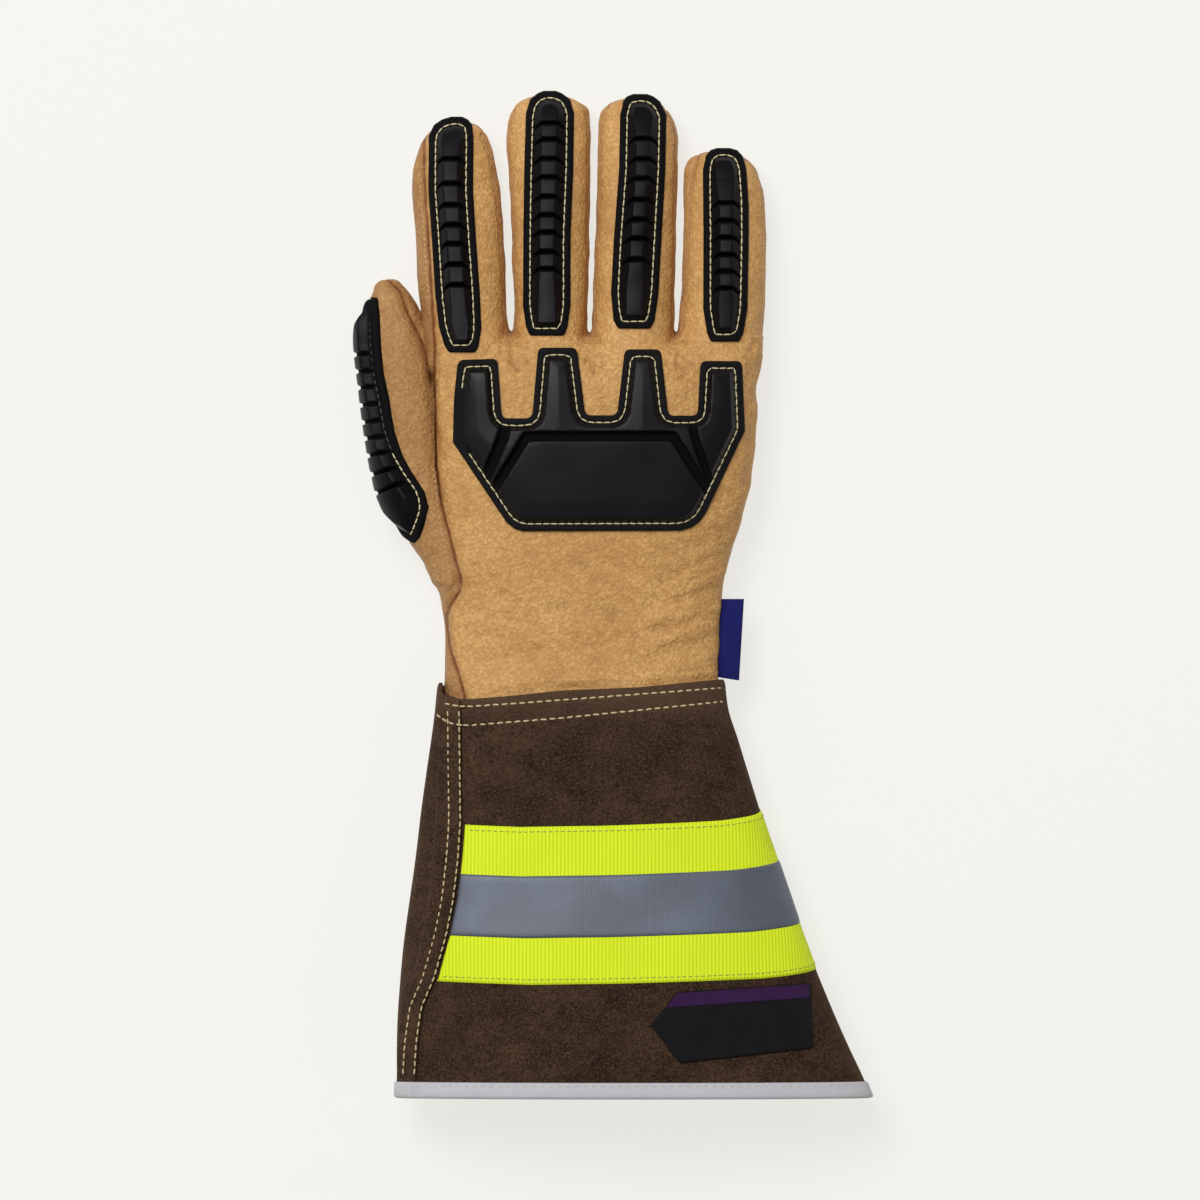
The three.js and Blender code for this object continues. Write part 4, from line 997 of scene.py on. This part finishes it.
RIBBON_LOW = SUEDE + 0.05
RIBBON_THICK, STRIP_THICK = 0.5, 0.3
ON_RIBBON = RIBBON_LOW + RIBBON_THICK + 0.02
band("reflective_ribbon", RIBBON_TOP, RIBBON_BOTTOM, RIBBON_LOW, RIBBON_THICK, 1.0, 48, LIME)
band("reflective_strip", STRIP_TOP, STRIP_BOTTOM, ON_RIBBON, STRIP_THICK, 1.2, 24, SILVER)


# Hem binding: a tape folded over the edge of both cuff panels
def hem_binding():
    hem, top = HEM_Y, HEM_Y + 4.7
    ends = np.array([hem, top])
    back, palm = back_angles(ends), palm_angles(ends)[:, :-1]
    lap = lap_angle(ends)[:, None]
    keep = back[0] < lap[0] - 3
    angles = np.concatenate([back[:, keep], lap - 1.5, lap - 0.5, palm], axis=1)
    lift = np.concatenate([np.zeros(keep.sum()), [0.1], [SUEDE], palm_lift(palm.shape[1])])
    end = hem - 0.4
    middle, radius = 0.75, 1.75
    # Round the tape, as (distance out of the cuff's inner face, y)
    profile = [(-0.1, top), (-0.1, end), (SUEDE + 0.15, end), (SUEDE + 0.15, top),
               (SUEDE + 0.7, top - 0.2), (SUEDE + 0.95, top - 0.9), (SUEDE + 0.95, end + 1)]
    profile += [(middle + radius * math.cos(a), end - 1.1 * math.sin(a))
                for a in np.radians(np.linspace(0, 180, 9))]
    profile += [(-0.95, end + 1), (-0.95, top)]
    rings = []
    for out, y in profile:
        share = np.clip((y - hem) / (top - hem), 0, 1)
        angle = angles[0] + (angles[1] - angles[0]) * share
        wave = cuff_wave(np.full_like(angle, min(y, top)), angle)
        rings.append(section_points(CUFF, np.full_like(angle, y), angle, out + lift + wave))
    grid = np.array(rings)
    k, n = grid.shape[:2]
    a = np.arange(k * n).reshape(k, n)
    b, d = np.roll(a, -1, axis=0), np.roll(a, -1, axis=1)
    c = np.roll(b, -1, axis=1)
    points = grid.reshape(-1, 3)
    faces = outward(points, [np.stack([a, b, c, d], axis=-1).reshape(-1, 4)])
    step = np.linalg.norm(np.diff(grid[8], axis=0), axis=1)
    along = np.tile(np.concatenate([[0], np.cumsum(step)]), (k, 1))
    down = np.tile(np.arange(k)[:, None] * 0.8, (1, n))
    floats = {"along": along.ravel(), "down": down.ravel()}
    return make_mesh("hem_binding", points, faces, BINDING_GREY, ("hem_binding",), floats)


hem_binding()


def cuff_height(x, y, out):
    """Height of the back of the cuff over a point in plan."""
    s = smooth_rows(CUFF, y)
    out = out + cuff_wave(y, angle_at_x(CUFF, y, x))
    cx, half, cz, high = middle_and_half(s)
    u = np.clip(np.abs(x - cx) / (half + out), 0, 1) ** s[..., 5]
    return cz + (high + out) * (1 - u) ** (1 / s[..., 5])


# Label patch, with a band along its upper edge
def label():
    stops = np.array([0, 0.475, 1])
    left = np.array([(22.5, -146.9), (12.8, -159.2), (23.7, -173)])
    right = np.array([(72, -143.8), (72.7, -167.6)])
    columns = 80
    t = np.sort(np.concatenate([np.linspace(0, 1, 48), stops[1:2]]))
    rows = len(t)
    lx, ly = np.interp(t, stops, left[:, 0]), np.interp(t, stops, left[:, 1])
    rx, ry = np.interp(t, [0, 1], right[:, 0]), np.interp(t, [0, 1], right[:, 1])
    u = np.linspace(0, 1, columns)[None, :]
    x = lx[:, None] * (1 - u) + rx[:, None] * u
    y = ly[:, None] * (1 - u) + ry[:, None] * u
    soft = edge_rounding(rows, columns, 2.0, 0.3)
    top = np.stack([x, y, cuff_height(x, y, SUEDE + 1.1 - soft)], axis=-1)
    low = np.stack([x, y, cuff_height(x, y, SUEDE + 0.05)], axis=-1)
    floats = {"along": x, "down": y}
    plate("label_patch", top, low, PATCH_BLACK, ("label_patch",), floats)
    share = np.linspace(0.02, 0.225, 14)[:, None]
    u = np.linspace(0.012, 0.988, columns)[None, :]
    x = np.interp(share, t, lx) * (1 - u) + np.interp(share, t, rx) * u
    y = np.interp(share, t, ly) * (1 - u) + np.interp(share, t, ry) * u
    top = np.stack([x, y, cuff_height(x, y, SUEDE + 1.22)], axis=-1)
    low = np.stack([x, y, cuff_height(x, y, SUEDE + 0.9)], axis=-1)
    plate("label_band", top, low, PATCH_PURPLE, (), {"along": x, "down": y})


label()


# Side tag: a folded loop of woven tape, sewn into the side seam
def side_tag():
    rows, columns = 40, 16
    t = np.linspace(0, 1, rows)[:, None]
    u = np.linspace(0, 1, columns)[None, :]
    inner = 37.0 - 0.5 * t
    outer = 47.4 - 1.8 * t
    x = inner + (outer - inner) * u
    y = -2.0 - 28.8 * t - 1.4 * t * u
    swell = 0.5 * np.sin(np.pi * np.clip(u * 1.1, 0, 1)) * np.sin(np.pi * t) + 0.8 * u * np.sin(3.3 * t)
    edge = 0.55 * np.sqrt(np.clip(1 - (2 * u - 1) ** 8, 0.02, 1))
    mid = 17.2 + swell
    top = np.stack([x, y, mid + edge], axis=-1)
    low = np.stack([x, y, mid - edge], axis=-1)
    plate("side_tag", top, low, NAVY, ("side_tag",), {"along": x + 0 * t, "down": y})


side_tag()

# Moulded guards: a sewn rim, a channel for the stitches, ribs between grooves
RIM, RIM_WIDTH = 1.8, 3.3
RIB = 5.3
STITCH_INSET = 2.7
CHANNEL_DEPTH, CHANNEL_WIDTH = 0.5, 0.55

def rib_relief(t, groove_gap, slope, top=RIB):
    """Height over the seat, from the distance to the outline and to the nearest groove."""
    base = RIM * np.clip(t / 0.5, 0, 1) ** 0.5
    channel = CHANNEL_DEPTH * bell(t - STITCH_INSET, CHANNEL_WIDTH)
    rise = np.clip((t - 3.5) / slope, 0, 1)
    bulge = RIM + 0.5 * np.clip((t - RIM_WIDTH) / 0.25, 0, 1) + (top - RIM - 0.5) * rise
    kept = np.clip((groove_gap - 0.5) / 0.35, 0, 1)
    inner = RIM * (1 - kept) + bulge * kept
    # How far into a groove or onto a rib's foot a point lies. The rubber's colour is darkened there as
    # painted shade.
    deep = np.where(t > RIM_WIDTH, 1 - kept, 0.8 * bell(t - RIM_WIDTH, 0.3))
    return np.where(t > RIM_WIDTH, np.minimum(inner, bulge), base - channel), deep

# For each finger: rows of y, left, right; its grooves; the width of the ribs' slope
FINGER_GUARDS = {
    "index": ([(176.6, -61, -57), (175.6, -64.4, -54.8), (173.6, -67.4, -53.2), (169.4, -69.4, -52.6),
               (149.3, -69.5, -52.8), (132.6, -68.3, -51.8), (110.4, -66.9, -50.2), (98.2, -65.5, -49.7),
               (92, -63.6, -50.6), (89.6, -62.2, -51.6), (89, -61.4, -52.6)],
              [160.9, 151.7, 143.7, 136.2, 129.2, 121.6, 114], 2.2),
    "middle": ([(186.2, -26.8, -22.4), (185.3, -29, -20), (183, -31.8, -17), (178, -33.4, -15.4),
                (157, -34, -15.7), (131.9, -34.4, -16.7), (106.4, -34.5, -16.7), (98.6, -33.4, -17.8),
                (95.8, -32.2, -18.9), (95.2, -31.4, -19.8)],
               [174.1, 167.9, 160.9, 154, 146.7, 139.8, 133.5, 126.2, 120], 2.8),
    "ring": ([(185, 6.4, 11.6), (184.1, 4, 14), (182.2, 2.6, 16.4), (177.2, 1.5, 18.8),
              (157, 1.1, 18.4), (130.4, -0.9, 16.9), (110.8, -1.9, 15.8), (101, -1, 14.4),
              (98.4, 0.4, 13), (97.8, 1.2, 12.2)],
             [168.2, 160.6, 153.4, 145.7, 138.2, 131.2, 123.4], 3.0),
    "little": ([(165, 37.4, 42.2), (164.2, 35, 45), (162, 33.2, 47), (157, 32.1, 48.4),
                (143.7, 32.2, 49.2), (130.4, 32.3, 49.2), (105.3, 32.2, 48.7), (96.4, 33.6, 47.2),
                (93.8, 34.6, 46), (93, 35.4, 45.2)],
               [144.5, 137.8, 131.5, 125.2, 119, 112.7], 2.8),
}


ARCH = 1.9  # how far a groove turns down at its two ends
GUARD_COLUMNS = 46

def guard_outline(edge):
    """A closed outline from rows of y, left, right."""
    rows = sorted(edge)
    return [(left, y) for y, left, _ in rows] + [(right, y) for y, _, right in rows[::-1]]

def finger_guard(name):
    edge, grooves, slope = FINGER_GUARDS[name]
    y_edge, left_edge, right_edge = np.array(sorted(edge), float).T
    y_low, y_high = y_edge[0], y_edge[-1]
    y_values = np.linspace(y_low, y_high, len(np.arange(y_low, y_high + 0.01, 0.4)))
    left, right = (np.interp(y_values, y_edge, e)[:, None] for e in (left_edge, right_edge))
    u = np.linspace(0, 1, GUARD_COLUMNS)[None, :]
    x = left * (1 - u) + right * u
    y = np.repeat(y_values[:, None], GUARD_COLUMNS, axis=1)
    t = polyline_distance(x, y, guard_outline(edge), closed=True)
    arch = ARCH * np.clip((np.abs(x - (left + right) / 2) - 2.6) / 2.4, 0, 1)
    gap = np.min([np.abs(y + arch - g) for g in grooves], axis=0)
    tip = np.clip((y - grooves[0]) / 9, 0, 1)
    root = np.clip((grooves[-1] - y) / (grooves[-1] - y_low), 0, 1)
    relief, deep = rib_relief(t, gap, slope * (1 - 0.5 * tip) * (1 - 0.62 * root))
    # The pads at tip and root are lower than the ribs
    relief = relief - np.clip((t - RIM_WIDTH) / 2, 0, 1) * (1.0 * tip + 1.1 * root)
    seat = sample2(pad_top, x, y)
    top = np.stack([x, y, seat + relief], axis=-1)
    low = np.stack([x, y, seat - 1.1], axis=-1)
    return plate(f"finger_guard_{name}", top, low, RIB_RUBBER, (f"finger_guard_{name}",),
                 {"rim": (t < RIM_WIDTH).astype(float), "deep": deep})

for finger in FINGER_GUARDS:
    finger_guard(finger)

# Thumb guard: its inner edge in plan, grooves with their slants
THUMB_NEAR = [(109.6, -88.2), (108.6, -87.9), (102.7, -87.3), (92.3, -87), (81.2, -85.8), (70.5, -83.6),
              (60.1, -81.8), (51.2, -78.8), (45, -75.5), (37.6, -70.7), (32, -69.2), (25.3, -70.8),
              (20.4, -72.6), (18.6, -74.2)]
THUMB_FAR = [(109.6, 150), (107.6, 170), (103, 184), (94, 192), (60, 194), (34, 190), (26, 184),
             (21, 170), (18.6, 150)]
THUMB_GROOVES = [(88.6, 0.05), (82.3, 0.06), (76.4, 0.09), (70.1, 0.13), (63.8, 0.18), (57.9, 0.22),
                 (52, 0.28), (45.7, 0.38), (39.8, 0.48)]
THUMB_SLOPE, THUMB_RIB = 2.2, 5.0
OUTER_GROOVE = 1.1  # depth of the grooves at the outer side of the thumb

def thumb_guard():
    columns = 56
    y_values = np.linspace(18.6, 109.6, 230)
    near_x = curve(THUMB_NEAR, y_values)
    near = angle_at_x(THUMB, y_values, near_x)
    far = curve(THUMB_FAR, y_values)
    u = np.linspace(0, 1, columns)[None, :]
    angle = near[:, None] * (1 - u) + far[:, None] * u
    y = np.repeat(y_values[:, None], columns, axis=1)
    skin = section_points(THUMB, y, angle, 0.0)
    step = np.hypot(np.diff(skin[..., 0], axis=1), np.diff(skin[..., 2], axis=1))
    arc = np.concatenate([np.zeros((len(y), 1)), np.cumsum(step, axis=1)], axis=1) - near_x[:, None]
    outline = list(zip(arc[:, 0], y_values)) + list(zip(arc[::-1, -1], y_values[::-1]))
    t = polyline_distance(arc, y, outline[::3], closed=True)
    across = skin[..., 0] - skin[:, columns // 3, 0][:, None]
    gap = np.min([np.abs(y - g - slant * across) for g, slant in THUMB_GROOVES], axis=0)
    relief, deep = rib_relief(t, gap, THUMB_SLOPE, THUMB_RIB)
    # The grooves run out towards the outer side of the thumb
    whole_rib, _ = rib_relief(t, np.full_like(gap, AWAY), THUMB_SLOPE, THUMB_RIB)
    outer = np.clip((angle - 125) / 35, 0, 1)
    relief = relief + outer * np.maximum(whole_rib - OUTER_GROOVE - relief, 0)
    top = section_points(THUMB, y, angle, relief)
    low = section_points(THUMB, y, angle, np.full_like(relief, -1.0))
    return plate("thumb_guard", top, low, RIB_RUBBER, ("thumb_guard",),
                 {"rim": (t < RIM_WIDTH).astype(float), "deep": deep})


thumb_guard()

# Knuckle guard: four lugs above one plate, with channels
KNUCKLE_PLATE = [
    (-59.9, 72), (-58.6, 84.4), (-58, 85.6), (-57, 86.3), (-45.2, 86.7), (-44.2, 86.2), (-43.6, 85),
    (-42.4, 67), (-41.8, 65.4), (-40.7, 64.7), (-32.6, 64.7), (-31.4, 65.4), (-30.8, 66.8),
    (-28.9, 89), (-28.4, 90.2), (-27.4, 90.8), (-15.8, 90.8), (-14.8, 90.2), (-14.2, 88.8),
    (-11.6, 67.6), (-10.9, 66.3), (-9.8, 65.8), (-1.2, 65.8), (0, 66.4), (0.6, 67.6),
    (3, 88.4), (3.6, 89.6), (4.6, 90.2), (15, 90.2), (16.2, 89.6), (16.8, 88.2),
    (19, 67.6), (19.6, 66.3), (20.8, 65.7), (28.6, 65.7), (29.8, 66.3), (30.2, 67.6),
    (31.1, 84), (31.7, 85.3), (32.8, 85.9), (45, 85.9), (46.2, 85.3), (46.7, 84),
    (47.7, 60.1), (33, 29.4), (31, 26.6), (28, 24.4), (24, 23.2), (-34.4, 23), (-37.6, 24),
    (-40.4, 26.2), (-60.3, 55.9),
]
# Its channels: a path and half its width
KNUCKLE_CHANNELS = [
    ([(-48.4, 33.2), (-33.0, 58), (21.2, 58), (36.6, 33.2)], 1.75),
    ([(-40.9, 61.4), (-42.0, 57), (-48.6, 41.5)], 2.1),
    ([(28.2, 62), (29.2, 57.2), (34.7, 41)], 1.5),
    ([(-46.2, 84), (-45.2, 66.6), (-42, 62.6)], 1.5),
]

def knuckle_guard():
    step = 0.5
    g = Grid((-63.5, 19.5, -2.0), (51, 94.5, 8.0), step)
    x, y = np.meshgrid(g.axes[0], g.axes[1], indexing="ij")
    d = polygon_field(x, y, KNUCKLE_PLATE)
    t = -d
    # A stretch at the left has no channel for stitches
    left_free = np.clip((-52 - x) / 2, 0, 1) * np.clip((y - 52) / 3, 0, 1) * np.clip((78 - y) / 3, 0, 1)
    rim = RIM - CHANNEL_DEPTH * bell(t - STITCH_INSET, CHANNEL_WIDTH) * (1 - left_free)
    raised = 4.6 + 0.5 * np.clip((t - 4.5) / 6, 0, 1)
    rise = np.clip((t - 3.2) / 1.5, 0, 1)
    height = rim * (1 - rise) + raised * rise
    cut = np.max([np.clip((half - polyline_distance(x, y, path)) / 0.4, 0, 1)
                  for path, half in KNUCKLE_CHANNELS], axis=0)
    height = np.where(t > 3.0, height * (1 - cut) + np.minimum(height, 2.0) * cut, height)
    flat = d[:, :, None]
    field = np.maximum(smax(flat, g.z - height[:, :, None], 0.5), np.maximum(flat, -1.3 - g.z))
    points, sets = surface_of(field.astype(np.float32), g.low, step)
    points = relax(points, sets, 1)
    inside = -polygon_field(points[:, 0], points[:, 1], KNUCKLE_PLATE)
    points[:, 2] += sample2(plate_top, points[:, 0], points[:, 1])
    u, v = (np.clip(((points[:, k] - g.low[k]) / step).round().astype(int), 0, g.shape[k] - 1)
            for k in (0, 1))
    # The channels' floors, where the rubber's colour is darkened as painted shade.
    deep = np.where(inside > 3.0, cut[u, v], 0)
    return make_mesh("knuckle_guard", points, sets, RUBBER, ("knuckle_guard",),
                     {"rim": (inside < 3.2).astype(float), "deep": deep})


knuckle_guard()


# Stitches
def resample(path, pitch):
    path = np.array(path, float)
    seg = np.linalg.norm(np.diff(path, axis=0), axis=1)
    s = np.concatenate([[0], np.cumsum(seg)])
    count = max(int(round(s[-1] / pitch)), 1)
    marks = np.linspace(0, s[-1], count + 1)
    return np.stack([np.interp(marks, s, path[:, k]) for k in range(path.shape[1])], axis=-1)


def stitches(name, lines, material):
    """lines: list of (points in space, pitch, share of the pitch covered, radius)."""
    sides, rings = 6, 7
    all_points, all_faces, all_twist = [], [], []
    offset = 0
    rng = np.random.default_rng(7)
    for path, pitch, share, radius in lines:
        marks = resample(path, pitch)
        for a, b in zip(marks[:-1], marks[1:]):
            middle, run = (a + b) / 2, (b - a)
            length = np.linalg.norm(run) * share
            if length < 0.2:
                continue
            axis = run / np.linalg.norm(run)
            lean = np.array([-axis[1], axis[0], 0]) * rng.uniform(-0.1, 0.1)
            axis = axis + lean
            axis /= np.linalg.norm(axis)
            side = np.cross(axis, (0, 0, 1))
            side /= np.linalg.norm(side)
            up = np.cross(side, axis)
            s = np.linspace(-1, 1, rings)[:, None]
            swell = radius * np.clip(1 - np.abs(s) ** 3.2, 0.12, 1) ** 0.5
            turn = np.linspace(0, 2 * np.pi, sides, endpoint=False)[None, :]
            ring = (middle + axis * (s * length / 2)[..., None]
                    + side * (swell * np.cos(turn))[..., None]
                    + up * (swell * np.sin(turn) - 0.7 * radius * s**2)[..., None])
            all_points.append(ring.reshape(-1, 3))
            idx = offset + np.arange(rings * sides).reshape(rings, sides)
            nxt = np.roll(idx, -1, axis=1)
            all_faces.append(np.stack([idx[:-1], nxt[:-1], nxt[1:], idx[1:]], axis=-1).reshape(-1, 4))
            caps = [idx[0, ::-1], idx[-1]]
            all_faces.append(np.array([[c[0], c[1], c[2], c[3]] for c in caps]))
            all_faces.append(np.array([[c[0], c[3], c[4], c[5]] for c in caps]))
            twist = (s * length / 2 / 0.9) + turn / (2 * np.pi)
            all_twist.append(twist.ravel())
            offset += rings * sides
    faces = np.concatenate(all_faces)
    return make_mesh(name, np.concatenate(all_points), [faces], material, (),
                     {"twist": np.concatenate(all_twist)})


MM_PER_PIXEL = 0.37
ORIGIN_X, ORIGIN_Y = 616, 593.5

def pixels(*points):
    """Places measured in the photograph, as (x, y) in millimetres."""
    return [((px - ORIGIN_X) * MM_PER_PIXEL, (ORIGIN_Y - py) * MM_PER_PIXEL) for px, py in points]

def on_guard(path, seat=pad_top):
    flat = resample(path, 1.0)
    z = sample2(seat, flat[:, 0], flat[:, 1]) + RIM - 0.18
    return np.column_stack([flat, z])

def inset_line(outline, by):
    """A closed outline drawn inwards."""
    p = np.array(outline, float)
    area = np.sum(p[:, 0] * np.roll(p[:, 1], -1) - np.roll(p[:, 0], -1) * p[:, 1])
    before, after = p - np.roll(p, 1, axis=0), np.roll(p, -1, axis=0) - p
    before /= np.linalg.norm(before, axis=1)[:, None]
    after /= np.linalg.norm(after, axis=1)[:, None]
    normal = np.stack([-(before + after)[:, 1], (before + after)[:, 0]], axis=1)
    normal /= np.linalg.norm(normal, axis=1)[:, None]
    reach = by / np.clip(np.abs(normal[:, 0] * -after[:, 1] + normal[:, 1] * after[:, 0]), 0.6, 1)
    sign = 1 if area > 0 else -1
    return p + normal * reach[:, None] * sign


def stitch_line(outline, pitch, slack):
    """A line set in from a closed outline, without the places where it crosses itself."""
    line = inset_line(resample(outline + outline[:1], pitch)[:-1], STITCH_INSET)
    d = polyline_distance(line[:, 0], line[:, 1], outline, closed=True)
    return line[d > STITCH_INSET - slack]

# Rows of stitches: pitch, share of the pitch covered, radius
GUARD_ROW = (2.9, 0.93, 0.28)
THUMB_ROW = (2.7, 0.9, 0.32)
WORN_ROW = (2.7, 0.8, 0.27)
CUFF_ROW = (3.3, 0.84, 0.36)
LAP_ROW = (2.9, 0.78, 0.31)
RIBBON_ROW = (2.3, 0.75, 0.2)
HEM_ROW = (3.2, 0.7, 0.2)
SIDE_ROW = (2.2, 0.55, 0.26)

cream = []
for edge, _, _ in FINGER_GUARDS.values():
    line = stitch_line(guard_outline(edge), 1.5, 0.35)
    cream.append((on_guard(np.vstack([line, line[:1]])), *GUARD_ROW))
line = stitch_line(KNUCKLE_PLATE, 1.2, 0.3)
free = (line[:, 0] < -50) & (line[:, 1] > 52.5) & (line[:, 1] < 75)
start = int(np.argmax(free & ~np.roll(free, -1)))
line, free = np.roll(line, -start - 1, axis=0), np.roll(free, -start - 1)
cream.append((on_guard(line[~free], plate_top), *GUARD_ROW))

def thumb_stitch_line(low, high, count):
    y = np.linspace(low, high, count)
    x = curve(THUMB_NEAR, y) - STITCH_INSET
    return section_points(THUMB, y, angle_at_x(THUMB, y, x), RIM - 0.2)

cream.append((thumb_stitch_line(21.5, 52, 50), *THUMB_ROW))
stitches("cream_stitching", cream, CREAM)
worn = [(thumb_stitch_line(53, 104, 60), *WORN_ROW)]
stitches("thumb_stitching", worn, GREY_THREAD)

def on_cuff(path):
    flat = resample(path, 1.5)
    over = (flat[:, 0] < curve(LAP_EDGE, flat[:, 1])) * (SUEDE + GAP)
    return np.column_stack([flat, cuff_height(flat[:, 0], flat[:, 1], SUEDE + over)])

seams = [(on_cuff(pixels(*path)), *CUFF_ROW) for path in (
    ((444, 703), (457, 706), (466.6, 706.5), (520, 703), (600, 697), (722, 687.8)),
    ((436, 714), (450, 723.5), (466.6, 725.4), (560, 718), (724, 701.4)),
)]
ys = np.linspace(-43, -178, 60)
for shift in (0.0, 4.2):
    xs = curve(LAP_EDGE, ys) - 2.4 - shift
    seams.append((np.column_stack([xs, ys, cuff_height(xs, ys, 2 * SUEDE + GAP)]), *LAP_ROW))
stitches("cuff_stitching", seams, CUFF_CREAM)

edges = []
share = np.linspace(0.02, 0.99, 150)
for flat_y in (RIBBON_TOP - 1.9, RIBBON_BOTTOM + 1.9):
    edges.append((band_points(np.full(150, flat_y), share, 1.6, ON_RIBBON), *RIBBON_ROW))
stitches("ribbon_stitching", edges, OLIVE)

ys = np.full(140, HEM_Y + 3.4)
angles = np.linspace(FOLD_ANGLE + 4, lap_angle(ys)[0] - 1, 140)
hem_rows = [(cuff_points(ys, angles, SUEDE + 0.9), *HEM_ROW)]
stitches("hem_stitching", hem_rows, PALE_THREAD)

# Small stitches beside the index-side seam
side_top = soften(height_map(np.minimum(joined, lowered)), 1)
side_rows = []
for path in (
    pixels((433.5, 467), (440, 522), (449, 561)),
    pixels((428.6, 300), (424.5, 240), (421.5, 205), (419.6, 172)),
):
    flat = resample(path, 1.0)
    z = sample2(side_top, flat[:, 0], flat[:, 1]) + 0.16
    side_rows.append((np.column_stack([flat, z]), *SIDE_ROW))
stitches("side_stitching", side_rows, BUFF)

# Floor, light and camera
floor_mesh = bpy.data.meshes.new("floor")
floor_mesh.from_pydata([(-3, -3, 0), (3, -3, 0), (3, 3, 0), (-3, 3, 0)], [], [(0, 1, 2, 3)])
floor = bpy.data.objects.new("floor", floor_mesh)
bpy.context.scene.collection.objects.link(floor)
ground = Shader("pale_floor", 1.0, 0.0)
ground.surface.inputs["Emission Color"].default_value = linear((247, 246, 241))
ground.surface.inputs["Emission Strength"].default_value = 0.80
floor_mesh.materials.append(ground.finish(linear((118, 117, 116))))

bpy.context.scene.view_settings.view_transform = "Standard"
world = bpy.data.worlds.new("studio")
bpy.context.scene.world = world
world.use_nodes = True
world.node_tree.nodes["Background"].inputs["Color"].default_value = (1, 1, 1, 1)
world.node_tree.nodes["Background"].inputs["Strength"].default_value = 0.32


def lamp(name, place, size, power):
    data = bpy.data.lights.new(name, "AREA")
    data.size = size
    data.energy = power
    obj = bpy.data.objects.new(name, data)
    obj.location = place
    obj.rotation_euler = (-Vector(place)).to_track_quat("-Z", "Y").to_euler()
    bpy.context.scene.collection.objects.link(obj)


lamp("overhead", (-0.9, 1.3, 2.8), 1.6, 78.0)

# The camera is far off, so that raised parts lie where the photograph has them
FRAME = 0.444  # metres across the picture, at LEVEL above the floor
DISTANCE, LEVEL = 8.0, 0.02
camera_data = bpy.data.cameras.new("camera")
camera_data.sensor_width = 36
camera_data.lens = 36 * (DISTANCE - LEVEL) / FRAME
camera = bpy.data.objects.new("camera", camera_data)
camera.location = (-5.9 * MM, -2.4 * MM, DISTANCE)
bpy.context.scene.collection.objects.link(camera)
bpy.context.scene.camera = camera
